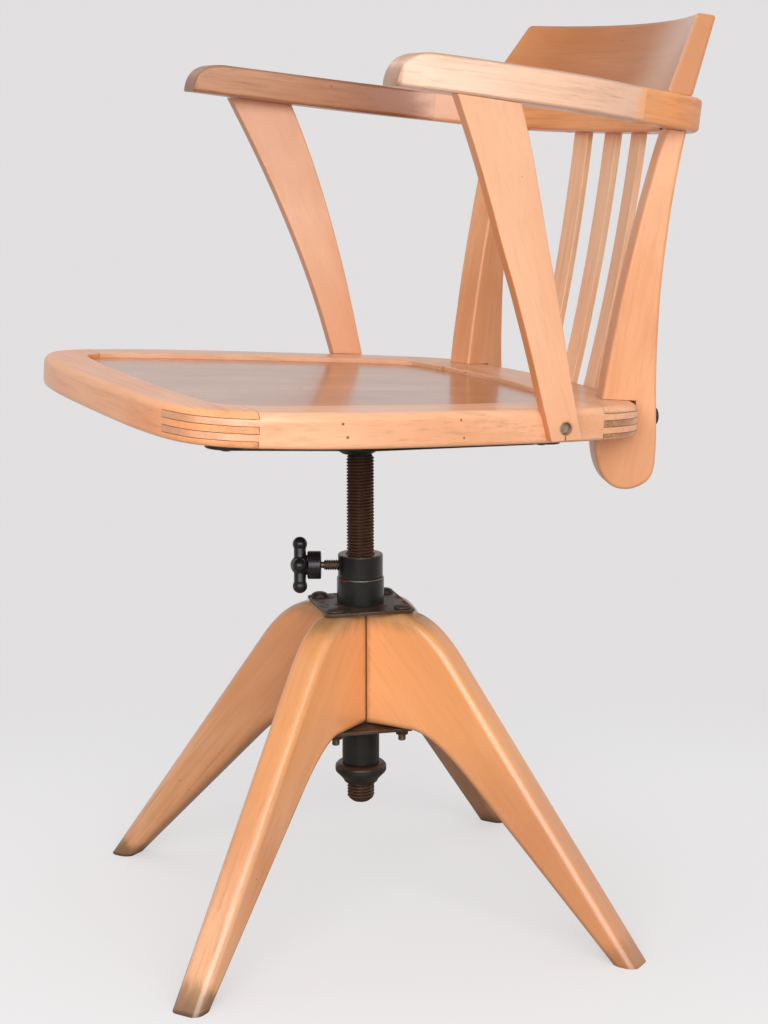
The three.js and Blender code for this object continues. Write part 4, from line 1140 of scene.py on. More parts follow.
class CHAIR_OT_leg_bolts(ChairStep):
    """Domed bolts through the plates, and their nuts"""
    bl_idname = "chair.leg_bolts"
    bl_label = "Leg bolts"

    def build(self, sizes, colours):
        seat = TOP_PLATE_TOP + GAP
        radius, height = BODY_BOLT_HEAD
        tip = NUT_TOP - BODY_NUT[1] - BODY_BOLT_TAIL
        nut_radius, nut_height = BODY_NUT
        metal = black_iron("Bolt iron", 1.1, 0.35, rough=0.42, bare=0.5)
        worn = iron("Flat bolt iron", tone(84, 74, 62), 0.4, rough=0.5, bare=0.5, seed=1.4)
        rusty = black_iron("Nut iron", 1.7, 0.6, rough=0.55, bare=0.5)
        for k in range(LEG_COUNT):
            rise = height * (0.6 if k < 2 else 1)
            profile = [(0, tip), (BODY_BOLT_RADIUS - 0.7, tip), (BODY_BOLT_RADIUS, tip + 0.7),
                       (BODY_BOLT_RADIUS, seat), *dome(radius, seat, rise, 0.8)]
            bolt = put(turned(f"leg_bolt_{k + 1}_iron", profile, 48), bolt_place(k))
            finish(bolt, worn if k < 2 else metal, "base", [f"leg_bolt_{k + 1}"])
            nut = rod(f"leg_nut_{k + 1}_iron", nut_radius, NUT_TOP - nut_height, NUT_TOP, 6)
            lid = rounded_profile([(0, NUT_TOP - nut_height), (nut_radius * 0.97, NUT_TOP - nut_height),
                                   (nut_radius * 0.97, NUT_TOP), (0, NUT_TOP)], 1.2)
            trim(nut, turned("chamfer", lid, 48))
            low, high = NUT_TOP - nut_height - OVERRUN, NUT_TOP + OVERRUN
            cut(nut, rod("hole", BODY_BOLT_RADIUS + GAP, low, high))
            finish(put(nut, bolt_place(k)), rusty, "base", [f"leg_nut_{k + 1}"])


class CHAIR_OT_swivel(ChairStep):
    """Housing, sleeve and ring nut round the height screw"""
    bl_idname = "chair.swivel"
    bl_label = "Swivel"

    def build(self, sizes, colours):
        bore = SLEEVE_RADIUS + GAP
        collar = TOP_PLATE_TOP + GAP
        housing = turned("swivel_housing_iron", rounded_profile([
            (bore, HOUSING_BOTTOM), (HOUSING_RADIUS, HOUSING_BOTTOM), (HOUSING_RADIUS, collar),
            (HOUSING_COLLAR, collar), (HOUSING_COLLAR, HOUSING_TOP), (bore, HOUSING_TOP),
        ], 1.1), 96)
        rim = [(Z, (HOUSING_TOP - 1.2) * MM, (HOUSING_TOP - 0.5) * MM, 0.0006, tone(150, 138, 124), 0.7)]
        spot = [((9, -20, HOUSING_TOP), (5, 5, 3), 0.6, tone(110, 62, 32), 0.9)]
        metal = black_iron("Housing iron", 2.3, 0.12, rough=0.3, metallic=0.6, zones=rim, spots=spot)
        finish(housing, metal, "base", ["swivel_housing"], Z, X)
        above = HOUSING_TOP + GAP
        sleeve = turned("screw_sleeve_iron", rounded_profile([
            (SLEEVE_BORE, SLEEVE_BOTTOM), (SLEEVE_RADIUS, SLEEVE_BOTTOM), (SLEEVE_RADIUS, above),
            (SLEEVE_COLLAR, above), (SLEEVE_COLLAR, SLEEVE_TOP), (SLEEVE_BORE, SLEEVE_TOP),
        ], 1.3), 96)
        cut(sleeve, put(rod("hole", STUD_RADIUS + GAP, 0, SLEEVE_COLLAR + OVERRUN), clamp_place()))
        rim = [(Z, (SLEEVE_TOP - 1) * MM, (SLEEVE_TOP - 0.3) * MM, 0.0006, tone(112, 96, 80), 0.75)]
        metal = black_iron("Sleeve iron", 3.3, 0.12, rough=0.3, metallic=0.6, zones=rim)
        finish(sleeve, metal, "sleeve", ["screw_sleeve"], Z, X)
        top = HOUSING_BOTTOM - GAP
        radius, height = RING_FLANGE
        under = top - height
        mouth = RING_WAIST + (HOUSING_COLLAR - RING_WAIST) / 6
        ring = turned("ring_nut_iron", rounded_profile([
            (bore, SLEEVE_BOTTOM), (RING_WAIST, SLEEVE_BOTTOM), (mouth, under - 5),
            (radius - 2.75, under), (radius, under + 2.75), (radius, top - 2.75),
            (radius - 2.75, top), (bore, top),
        ], 1.2), 96)
        lid = [(Z, (top - 3.5) * MM, (top - 1) * MM, 0.002, tone(92, 54, 32), 0.8)]
        metal = black_iron("Ring nut iron", 4.1, 0.16, rough=0.4, bare=0.4, zones=lid)
        finish(ring, metal, "sleeve", ["ring_nut"], Z, X)


def clamp_axis():
    return Vector((math.cos(CLAMP_HEADING), math.sin(CLAMP_HEADING), 0))


def clamp_place():
    """Puts a piece turned about +Z on the clamp's axis."""
    return basis(Z.cross(clamp_axis()), Z, clamp_axis(), (0, 0, CLAMP_HEIGHT))


def threaded(name, radius, root, pitch, low, high, plain, facets=48, slices=8):
    """A rod with a helical thread between low and high; plain lists (radius, height) below and above."""
    below, above = plain
    angles = np.linspace(0, 2 * math.pi, facets, endpoint=False)
    levels = np.arange(low, high + pitch / slices / 2, pitch / slices)

    def ring(reach, height):
        return np.column_stack([reach * np.cos(angles), reach * np.sin(angles), np.full(facets, height)])

    rings, wear = [ring(*level) for level in below], [np.zeros(facets) for _ in below]
    for z in levels:
        turns = (z - low) / pitch - angles / (2 * math.pi)
        wave = np.abs((turns % 1) * 2 - 1)
        crest = np.clip((wave - 0.16) / 0.68, 0, 1)
        fade = np.clip(min(z - low, high - z) / pitch * 2, 0, 1)
        reach = root + (radius - root) * crest * fade
        rings.append(ring(reach, z))
        wear.append(crest * fade)
    rings += [ring(*level) for level in above]
    wear += [np.zeros(facets) for _ in above]
    return loft(name, rings, wear)


STUD_END = SLEEVE_COLLAR + STUD_SHOW


class CHAIR_OT_clamp(ChairStep):
    """Threaded stud and cross knob that grip the screw"""
    bl_idname = "chair.clamp"
    bl_label = "Clamp"

    def build(self, sizes, colours):
        start = SCREW_RADIUS + GAP
        end = STUD_END + BOSS[1] / 2
        neck = STUD_END - 2.6
        root = STUD_RADIUS - 0.9
        plain = ([(0.6, start), (2.6, start), (root, start + 1.9)],
                 [(3, neck + 0.3), (3, end - 0.6), (0.5, end)])
        stud = threaded("clamp_stud_steel", STUD_RADIUS, root, millimetres(sizes.stud_pitch),
                        start + 2.2, neck, plain, 40, 8)
        put(stud, clamp_place())
        finish(stud, bright("Stud steel", darker(colours.steel, 0.4), 0.42), "clamp_stud", ["clamp_stud"],
               clamp_axis(), Z, crisp=60, flat=False)
        face = STUD_END + BOSS[1]
        middle = face + LOBE_RADIUS
        knob = turned("clamp_knob_resin", rounded_profile([
            (0, STUD_END), (BOSS[0], STUD_END), (BOSS[0], face), (0, face),
        ], 1.4), 48)
        parts = [turned("face", ball(KNOB_FACE, middle), 48),
                 rod("neck", KNOB_FACE, face - OVERRUN, middle, 48)]
        lift = Matrix.Translation((0, 0, middle))
        for k in range(LOBES):
            around = k * math.tau / LOBES + LOBE_TURN
            turn = lift @ Matrix.Rotation(around, 4, "Z") @ Matrix.Rotation(math.pi / 2, 4, "Y")
            parts.append(put(rod("arm", LOBE_ARM, 0, LOBE_REACH, 32), turn))
            parts.append(put(turned("lobe", ball(LOBE_RADIUS, LOBE_REACH), 40), turn))
        join(knob, *parts)
        melt(knob, *KNOB_SKIN)
        cut(knob, rod("socket", STUD_RADIUS + GAP, STUD_END - OVERRUN, STUD_END + BOSS[1] / 2 + GAP, 40))
        put(knob, clamp_place())
        finish(knob, moulded("Knob resin", colours.bakelite), "clamp_knob", ["clamp_knob"],
               clamp_axis(), Z, crisp=50, flat=False)


def melt(piece, voxel, rounds):
    """Rebuilds a joined solid as one even skin and softens its inner corners."""
    skin = piece.modifiers.new("skin", "REMESH")
    skin.mode = "VOXEL"
    skin.voxel_size = voxel
    soften = piece.modifiers.new("soften", "SMOOTH")
    soften.factor = 0.5
    soften.iterations = rounds
    return settle(piece)


def screw_head():
    """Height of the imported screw's upper end."""
    return millimetres(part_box("height_screw")[1].z)


class CHAIR_OT_height_screw(ChairStep):
    """Central screw that raises the seat"""
    bl_idname = "chair.height_screw"
    bl_label = "Height screw"

    def build(self, sizes, colours):
        pitch = millimetres(sizes.thread_pitch)
        end = SCREW_BOTTOM - SCREW_TIP
        tip = [(0.6, end), (SCREW_ROOT - 3.4, end), (SCREW_ROOT, SCREW_BOTTOM - 0.2)]
        shank = [(SCREW_ROOT, SCREW_TOP), (SHANK_RADIUS, SCREW_TOP + 0.01), (SHANK_RADIUS, screw_head())]
        screw = threaded("height_screw_iron", SCREW_RADIUS, SCREW_ROOT, pitch, SCREW_BOTTOM, SCREW_TOP - 0.2,
                         (tip, shank), 48, 6)
        # The screw's thread grooves get painted shade.
        metal = iron("Screw iron", tone(94, 63, 45), 0.5, rough=0.5, metallic=0.3, bare=0.0, seed=5.0,
                     hollow_shade=0.7)
        finish(screw, metal, "seat", ["height_screw"], Z, X, crisp=60, flat=False)


def seat_half(shares, half_width, front, back):
    return [(x * half_width, y * front if y < 0 else y * back) for x, y in shares]


def seat_outline():
    return closed_half(seat_half(SEAT_EDGE, SEAT_HALF_WIDTH, SEAT_FRONT, SEAT_BACK), 320)


def panel_outline(smaller):
    half = seat_half(PANEL_EDGE, PANEL_HALF_WIDTH - smaller, PANEL_FRONT - smaller, PANEL_BACK - smaller)
    return closed_half(half, 280)


def seat_clearance():
    outline = inset(counter_clockwise(seat_outline()), -GAP)
    made = board("seat clearance", outline, SEAT_THICKNESS + 2 * GAP)
    return put(made, SEAT_PLANE @ Matrix.Translation((0, 0, -SEAT_THICKNESS - GAP)))


def above_bow():
    """Everything above the bow's underside, as a cutter for the uprights."""
    return put(block("above", (-FAR, -FAR, -GAP), (FAR, FAR, FAR)), BOW_PLANE)


def panel_opening(edge):
    """The panel's rebate as a cutter, flaring at the top so that it leaves a rounded edge."""
    outline = counter_clockwise(panel_outline(-GAP))
    floor = -PANEL_SINK - PANEL_THICKNESS - GAP
    levels = [(0, floor)]
    for k in range(5):
        angle = k / 4 * math.pi / 2
        levels.append((-edge * (1 - math.cos(angle)), -edge * (1 - math.sin(angle))))
    levels.append((-edge, OVERRUN))
    rings = [np.column_stack([inset(outline, depth), np.full(len(outline), z)]) for depth, z in levels]
    return loft("opening", rings, [np.full(len(outline), 0.8)] * len(rings))


def finger_level(k):
    return -SEAT_THICKNESS * k / FINGERS


def side_fingers(low, high, spare):
    """The second and fourth layers, which belong to the side rails, over a region in plan."""
    return [
        block("finger", (*low, finger_level(k + 1) - spare), (*high, finger_level(k) + spare))
        for k in range(1, FINGERS, 2)
    ]


def ring_blank(sizes):
    ring = board("ring", seat_outline(), SEAT_THICKNESS, millimetres(sizes.rail_foot),
                 millimetres(sizes.rail_edge), 7)
    put(ring, Matrix.Translation((0, 0, -SEAT_THICKNESS)))
    under = board("under", panel_outline(REBATE), SEAT_THICKNESS + 2 * OVERRUN)
    put(under, Matrix.Translation((0, 0, -SEAT_THICKNESS - OVERRUN)))
    cut(ring, panel_opening(millimetres(sizes.rebate_edge)), under)
    to_seat = SEAT_PLANE.inverted()
    bolt = put(post_bolt_hole(), to_seat)
    screw = put(support_screw_hole(), to_seat)
    slats = [put(slat_board(offset, GAP, 0), to_seat) for offset in (-1, 0, 1)]
    other_bolt = put(put(post_bolt_hole(), MIRROR), to_seat)
    other_screw = put(put(support_screw_hole(), MIRROR), to_seat)
    return cut(ring, bolt, screw, other_bolt, other_screw, *slats)


class CHAIR_OT_seat_frame(ChairStep):
    """Four finger-jointed rails round the panel"""
    bl_idname = "chair.seat_frame"
    bl_label = "Seat frame"

    def build(self, sizes, colours):
        ring = ring_blank(sizes)
        seam = millimetres(sizes.finger_gap) / 2
        low_z, high_z = -SEAT_THICKNESS - OVERRUN, OVERRUN
        light, deep = colours.rail_light, colours.rail_deep
        plane = SEAT_PLANE.to_3x3()

        shoulder, far = -FRONT_SHOULDER - seam, -SEAT_FRONT - OVERRUN
        front = copy_of(ring, "front_rail_wood")
        trim(front, block("keep", (-FAR, far, low_z), (FAR, shoulder, high_z)))
        cut(front, *side_fingers((FRONT_TONGUE, far - OVERRUN), (FAR, shoulder + OVERRUN), seam),
            *side_fingers((-FAR, far - OVERRUN), (-FRONT_TONGUE, shoulder + OVERRUN), seam))
        put(front, SEAT_PLANE)
        warm = tone(255, 180, 126), tone(244, 158, 102)
        material = wood("Front rail beech", *warm, 7.1, rough=0.36, coat=0.25, wear=0.5, specks=0.14,
                        ends=0.25)
        finish(front, material, "seat", ["front_rail"], plane @ X, plane @ Z)

        shoulder, far = REAR_SHOULDER + seam, SEAT_BACK + OVERRUN
        rear = copy_of(ring, "rear_rail_wood")
        trim(rear, block("keep", (-FAR, shoulder, low_z), (FAR, far, high_z)))
        cut(rear, *side_fingers((REAR_TONGUE, shoulder - OVERRUN), (FAR, far + OVERRUN), seam),
            *side_fingers((-FAR, shoulder - OVERRUN), (-REAR_TONGUE, far + OVERRUN), seam))
        put(rear, SEAT_PLANE)
        # Painted shade: the rear rail takes darker copies of the rail colours, for the shade at the back of
        # the seat.
        material = wood("Rear rail beech", darker(light, 0.92), darker(deep, 0.86), 8.3, rough=0.4, coat=0.15,
                        wear=0.5, specks=0.14, ends=0.95)
        finish(rear, material, "seat", ["rear_rail"], plane @ X, plane @ Z)

        start, end = seam - FRONT_SHOULDER, REAR_SHOULDER - seam
        side = copy_of(ring, "left_rail_wood")
        tools = [block("keep", (0, start, low_z), (FAR, end, high_z))]
        far = OVERRUN + SEAT_FRONT
        tools += side_fingers((FRONT_TONGUE + 2 * seam, -far), (FAR, start + OVERRUN), -seam)
        tools += side_fingers((REAR_TONGUE + 2 * seam, end - OVERRUN), (FAR, far), -seam)
        keep = join(tools[0], *tools[1:])
        trim(side, keep)
        other = copy_of(side, "right_rail_wood", MIRROR)
        zones = [("X", -0.165, -0.215, 0.03, darker(deep, 0.75), 0.35)]
        places = [(-13, 503), (-10, 488), (43, 502), (-118, 497), (-122, 508), (88, 505), (30, 487)]
        holes = [((245, y, z), (14, 1.3, 1.3), 0.2, colours.grime, 0.8) for y, z in places]
        # Painted shade: the right rail takes its colours darkened to 0.9, for the shade on the far side.
        for rail, name, seed, share in ((side, "left_rail", 9.7, 1.0), (other, "right_rail", 10.9, 0.9)):
            put(rail, SEAT_PLANE)
            material = wood(f"Side rail beech {name}", darker(light, share), darker(deep, share), seed,
                            zones, holes,
                            rough=0.36, coat=0.25, wear=0.5, specks=0.16, ends=0.3)
            finish(rail, material, "seat", [name], plane @ Y, plane @ Z)
        discard(ring)


class CHAIR_OT_seat_panel(ChairStep):
    """Plywood panel sunk in the seat frame"""
    bl_idname = "chair.seat_panel"
    bl_label = "Seat panel"

    def build(self, sizes, colours):
        panel = board("seat_panel_plywood", panel_outline(0), PANEL_THICKNESS, 0.3, 0.7, 3)
        put(panel, SEAT_PLANE @ Matrix.Translation((0, 0, -PANEL_SINK - PANEL_THICKNESS)))
        material = wood("Panel plywood", colours.panel_light, colours.panel_deep, 11.3, rough=0.28,
                        coat=0.5, wear=0.2, bands=0.0, fibres=0.35, streaks=0.35, flecks=0.1, specks=0.01,
                        polish=0.08)
        plane = SEAT_PLANE.to_3x3()
        finish(panel, material, "seat", ["seat_panel"], plane @ Y, plane @ Z)


class CHAIR_OT_spider(ChairStep):
    """Iron spider under the seat"""
    bl_idname = "chair.spider"
    bl_label = "Spider"

    def build(self, sizes, colours):
        top = -SEAT_THICKNESS - GAP
        hub = turned("seat_spider_iron", rounded_profile([
            (0, top - HUB_DROP), (HUB_MOUTH, top - HUB_DROP),
            (HUB_RADIUS, top - HUB_DROP + HUB_CHAMFER), (HUB_RADIUS, top), (0, top),
        ], 1.0), 64)
        parts, holes = [], []
        for x, y in SPIDER_TIPS:
            reach = math.hypot(x, y)
            turn = Matrix.Rotation(math.atan2(y, x), 4, "Z")
            web = board("web", [
                (0, top), (0, top - HUB_DROP + HUB_CHAMFER), (HUB_RADIUS, top - HUB_DROP + HUB_CHAMFER),
                (reach, top - ARM_TIP_DROP), (reach, top),
            ], ARM_WEB, 1, 1, 3)
            put(web, basis(X, Z, -Y) @ Matrix.Translation((0, 0, -ARM_WEB / 2)))
            half = ARM_FLANGE / 2
            flange = board("flange", [(0, -half), (reach, -half), (reach, half), (0, half)],
                           FLANGE_THICKNESS, 1.2, 0, 3)
            lift = Matrix.Translation((0, 0, top - FLANGE_THICKNESS))
            put(flange, lift)
            pad = turned("pad", rounded_profile([
                (0, 0), (PAD_RADIUS, 0), (PAD_RADIUS, FLANGE_THICKNESS), (0, FLANGE_THICKNESS),
            ], 1.2), 48)
            put(pad, lift @ Matrix.Translation((reach, 0, 0)))
            arm = join(web, flange, pad)
            shank, head = (radius + GAP for radius in SEAT_SCREW)
            cut(arm, block("relief", (reach - head, -ARM_WEB, top - ARM_TIP_DROP - OVERRUN),
                           (reach + PAD_RADIUS, ARM_WEB, top - FLANGE_THICKNESS)))
            parts.append(put(arm, turn))
            hole = rod("hole", shank, top - 2 * OVERRUN, top + OVERRUN)
            holes.append(put(hole, turn @ Matrix.Translation((reach, 0, 0))))
        join(hub, *parts)
        cut(hub, *holes)
        put(hub, SEAT_PLANE)
        cut(hub, rod("bore", SHANK_RADIUS + GAP, SCREW_TOP - 2 * OVERRUN, screw_head() + GAP, 48))
        plane = SEAT_PLANE.to_3x3()
        finish(hub, black_iron("Spider iron", 6.2, 0.3, rough=0.5), "seat", ["seat_spider"],
               plane @ X, plane @ Z)
        metal = black_iron("Seat screw iron", 6.9, 0.45, rough=0.5)
        for name in ("left_front", "left_rear", "right_front", "right_rear"):
            coat_packed(f"spider_screw_{name}", metal)


def post_axes():
    along = Vector((math.sin(POST_TURN), math.cos(POST_TURN), 0))
    across = Vector((math.cos(POST_TURN), -math.sin(POST_TURN), 0))
    origin = Vector((*POST_CORNER, 0)) - across * POST_THICKNESS
    return along, across, origin


def on_post_bolt(piece):
    """Puts a piece turned about +Z on a post bolt's line, its head to the back."""
    along, across, origin = post_axes()
    middle = origin + across * (POST_THICKNESS / 2) + Z * POST_BOLT_HEIGHT
    return put(piece, basis(across, -Z, along, middle))


def post_bolt_hole():
    radius, reach = POST_BOLT
    return on_post_bolt(rod("bolt hole", radius + GAP, POST_DEPTH / 2 - reach - GAP, POST_DEPTH + OVERRUN))


class CHAIR_OT_posts(ChairStep):
    """Back posts and the bolts that hold them"""
    bl_idname = "chair.posts"
    bl_label = "Back posts"

    def build(self, sizes, colours):
        along, across, origin = post_axes()
        rise = BOW_HEIGHT - BOW_SLOPE * POST_CORNER[1] - POST_FOOT
        points = [(d * POST_DEPTH, POST_FOOT + h * rise) for d, h in POST_EDGE]
        edge = millimetres(sizes.post_edge)
        post = board("left_post_wood", smooth_line(points, 240), POST_THICKNESS, edge, edge, 5)
        put(post, basis(along, Z, across, origin))
        cut(post, seat_clearance(), above_bow(), post_bolt_hole())
        other = copy_of(post, "right_post_wood", MIRROR)
        light, deep = colours.post_light, colours.post_deep
        radius, height = POST_NUT
        back = POST_DEPTH + 2 * GAP
        shank, reach = POST_BOLT
        start = POST_DEPTH / 2 - reach
        profile = [(0, start), (shank, start), (shank, back), *dome(radius, back, height, 1.0)]
        metal = black_iron("Post bolt iron", 7.7, 0.4, rough=0.45)
        # Painted shade: both ends of each post and its part beside and below the seat are darkened, where it
        # meets the seat and the bow.
        joint_shade = darker(deep, 0.8)
        zones = [("X", -0.13, -0.17, 0.03, joint_shade, 0.3), ("X", 0.13, 0.17, 0.03, joint_shade, 0.3),
                 (-Z, -0.5, -0.46, 0.02, joint_shade, 0.45)]
        # Painted shade: the right post takes its colours darkened to 0.93, for the shade on the far side.
        for piece, name, seed, share, flip in (
            (post, "left_post", 12.2, 1.0, None), (other, "right_post", 13.4, 0.93, MIRROR),
        ):
            material = wood(f"Post beech {name}", darker(light, share), darker(deep, share), seed, zones,
                            rough=0.38, coat=0.2, wear=0.4, rub=0.12, bands=0.05, fibres=0.3, streaks=0.28,
                            flecks=0.08, specks=0.04)
            side = across if flip is None else MIRROR.to_3x3() @ across
            finish(piece, material, "seat", [name], POST_LEAN, side)
            bolt = on_post_bolt(turned(f"{name}_bolt_iron", profile, 40))
            if flip:
                put(bolt, flip)
            finish(bolt, metal, "seat", [f"{name}_bolt"], Z, X)


def slat_outline(spare):
    top = BOW_HEIGHT
    height = top - SLAT_FOOT_HEIGHT
    lean = (SLAT_HEAD - SLAT_FOOT) / (height - BOW_SLOPE * SLAT_HEAD)
    middle = SLAT_FOOT_HEIGHT + height / 2
    half = SLAT_THICKNESS / 2 + spare
    head = SLAT_FOOT + lean * height
    waist = SLAT_FOOT + lean * height / 2 + 2 * SLAT_CAMBER
    foot = SLAT_FOOT_HEIGHT - spare
    line = [(SLAT_FOOT - half, foot), (SLAT_FOOT + half, foot)]
    line += bend(line[-1], (waist + half, middle), (head + half, top), 24)
    line += [(head - half, top)]
    line += bend(line[-1], (waist - half, middle), (SLAT_FOOT - half, foot), 24)[:-1]
    return line


def slat_board(offset, spare, edge):
    width = SLAT_WIDTH + 2 * spare
    made = board("slat", slat_outline(spare), width, edge, edge, 3)
    put(made, basis(Y, Z, X, (-width / 2, -SLAT_FOOT, 0)))
    sag = (offset * SLAT_PITCH) ** 2 / (2 * CREST_RADIUS)
    turn = Matrix.Rotation(-SLAT_PITCH / CREST_RADIUS * offset, 4, "Z")
    return put(made, Matrix.Translation((offset * SLAT_PITCH, SLAT_FOOT - sag, 0)) @ turn)


class CHAIR_OT_slats(ChairStep):
    """Three slats between the seat and the back bow"""
    bl_idname = "chair.slats"
    bl_label = "Slats"

    def build(self, sizes, colours):
        light, deep = colours.slat_light, colours.slat_deep
        # Painted shade: the right slat takes its colours darkened to 0.98, for the shade on the far side.
        for offset, name, share in ((-1, "slat_right", 0.98), (0, "slat_centre", 1.0), (1, "slat_left", 1.0)):
            slat = slat_board(offset, 0, millimetres(sizes.slat_edge))
            slat.name = f"{name}_wood"
            cut(slat, above_bow())
            # Painted shade at the slat's foot, where it meets the seat.
            zones = [("X", -0.1, -0.132, 0.01, darker(deep, 0.5), 0.5)]
            material = wood(f"Slat beech {name}", darker(light, share), darker(deep, share), 14.1 + offset,
                            zones,
                            rough=0.34, coat=0.3, wear=0.3, rub=0.2, bands=0.1, specks=0.02)
            finish(slat, material, "seat", [name], SLAT_LEAN, X)


def on_support_screw(piece):
    return put(piece, basis(Y, Z, X, (0, *SUPPORT_SCREW)))


SCREW_FACE = SUPPORT_FOOT_X - SUPPORT_SCREW_SINK
SCREW_NECK = SCREW_FACE - SUPPORT_SCREW_HEAD
SCREW_SHANK, SCREW_LENGTH = SUPPORT_SCREW_SHANK
SCREW_END = SCREW_FACE - SCREW_LENGTH


def support_screw_hole():
    shank = rod("shank", SCREW_SHANK + GAP, SCREW_END - GAP, SCREW_NECK + GAP)
    well = rod("well", SUPPORT_SCREW_HEAD + GAP, SCREW_NECK - GAP, SUPPORT_FOOT_X + OVERRUN, 40)
    return on_support_screw(join(shank, well))


def rounded_rectangle(low, high, radius, steps=4):
    """(x, y, wear) round a rectangle with rounded corners, counter-clockwise."""
    radius = min(radius, (high[0] - low[0]) / 2.05, (high[1] - low[1]) / 2.05)
    centres = [(high[0] - radius, low[1] + radius), (high[0] - radius, high[1] - radius),
               (low[0] + radius, high[1] - radius), (low[0] + radius, low[1] + radius)]
    points = []
    for quarter, (x, y) in enumerate(centres):
        for k in range(steps + 1):
            share = k / steps
            angle = (quarter - 1 + share) * math.pi / 2
            points.append((x + radius * math.cos(angle), y + radius * math.sin(angle),
                           math.sin(math.pi * share)))
    return np.array(points)


class CHAIR_OT_supports(ChairStep):
    """Arm supports and the screws in their feet"""
    bl_idname = "chair.supports"
    bl_label = "Arm supports"

    def build(self, sizes, colours):
        step = SUPPORT_STEP * (BOW_HEIGHT - SUPPORT_FOOT_HEIGHT)

        def line(shares, origin, span):
            points = [(origin + share * span, SUPPORT_FOOT_HEIGHT + k * step) for k,
                      share in enumerate(shares)]
            return smooth_line(points, 72)

        front, back = line(SUPPORT_FRONT, 0, SUPPORT_FOOT_BACK), line(SUPPORT_BACK, 0, SUPPORT_FOOT_BACK)
        outer = line(SUPPORT_FLARES, SUPPORT_FOOT_X, SUPPORT_FLARE)
        rings, wear = [], []
        foot_turn, head_turn, rise = SUPPORT_TURN
        for (y_front, z), (y_back, _), (x, _) in zip(front, back, outer):
            section = rounded_rectangle((x - SUPPORT_THICKNESS, y_front), (x, y_back),
                                        millimetres(sizes.support_edge))
            share = min(max((z - SUPPORT_FOOT_HEIGHT) / rise, 0), 1)
            section[:, 0] -= (foot_turn + (head_turn - foot_turn) * share) * section[:, 1]
            rings.append(np.column_stack([section[:, :2], np.full(len(section), z)]))
            wear.append(section[:, 2])
        support = loft("left_arm_support_wood", rings, wear)
        cut(support, seat_clearance(), above_bow(), support_screw_hole())
        other = copy_of(support, "right_arm_support_wood", MIRROR)
        light, deep = colours.support_light, colours.support_deep
        head = SUPPORT_SCREW_HEAD
        profile = [(0, SCREW_END), (1.2, SCREW_END), (SCREW_SHANK, SCREW_END + 4), (SCREW_SHANK, SCREW_NECK),
                   (head, SCREW_FACE - 1.1), (head, SCREW_FACE - 0.3), (head - 0.4, SCREW_FACE),
                   (0, SCREW_FACE)]
        steel = bright("Screw steel", colours.steel, 0.3, 0.45)
        # Painted shade: the right support takes its colours darkened to 0.93, for the shade on the far side.
        for piece, name, seed, share, flip in (
            (support, "left_arm_support", 15.2, 1.0, None), (other, "right_arm_support", 16.6, 0.93, MIRROR),
        ):
            # Painted shade where the support's foot meets the seat.
            zones = [("X", -0.128, -0.146, 0.012, darker(deep, 0.6), 0.25)]
            # Painted shadow: the right support's upper part is darkened, for the shade under the arm.
            if flip:
                zones.append((Z, 0.6, 0.72, 0.03, darker(deep, 0.62), 0.4))
            y, z = SUPPORT_SCREW
            sign = -1 if flip else 1
            spots = [
                ((sign * SUPPORT_FOOT_X, y, z), (12, 6.6, 6.6), 0.3, colours.grime, 0.6),
                ((sign * SUPPORT_FOOT_X, y - 0.5, z - 13), (12, 0.9, 9), 0.5, colours.grime, 0.8),
            ]
            # Painted shade: the supports' faces turned to the front are darkened, for the light that falls
            # less on them.
            material = wood(f"Support beech {name}", darker(light, share), darker(deep, share), seed, zones,
                            spots,
                            rough=0.37, coat=0.2, wear=0.3, rub=0.15, bands=0.05, fibres=0.16, streaks=0.18,
                            flecks=0.04, specks=0.03, painted_face_shade=(1, tone(232, 196, 150)))
            finish(piece, material, "seat", [name], SUPPORT_LEAN, X)
            side = name.split("_")[0]
            screw = turned(f"{side}_support_screw_steel", profile, 40)
            ends = head + OVERRUN
            cut(screw, block("slot", (-ends, -0.65, SCREW_FACE - 1.2), (ends, 0.65, SCREW_FACE + OVERRUN)))
            screw.data.transform(Matrix.Rotation(SUPPORT_SCREW_TURN, 4, "Z"))
            on_support_screw(screw)
            if flip:
                put(screw, flip)
            finish(screw, steel, "seat", [f"{side}_support_screw"], X, Z)


def bow_line(shares):
    half = [(x * BOW_HALF_WIDTH, y * BOW_BACK) for x, y in shares]
    other = [(-x, y) for x, y in half[:-1]][::-1]
    return smooth_line([*half, *other], 900)


def crossing(line, point, along, across):
    """How far from a point, square to a direction, a line is crossed."""
    ahead = (line - point) @ along
    aside = (line - point) @ across
    hits = np.nonzero(ahead[:-1] * ahead[1:] <= 0)[0]
    best = None
    for k in hits:
        span = ahead[k + 1] - ahead[k]
        share = 0 if abs(span) < 1e-9 else -ahead[k] / span
        value = aside[k] + share * (aside[k + 1] - aside[k])
        if best is None or abs(value) < abs(best):
            best = value
    return best


def nose_top(reach):
    """Height of an arm's top at a distance behind its front end."""
    if reach >= NOSE_LENGTH:
        return BOW_THICKNESS
    return BOW_THICKNESS - (BOW_THICKNESS - NOSE_FOOT) * (1 - math.sqrt(max(reach, 0) / NOSE_LENGTH)) ** 2


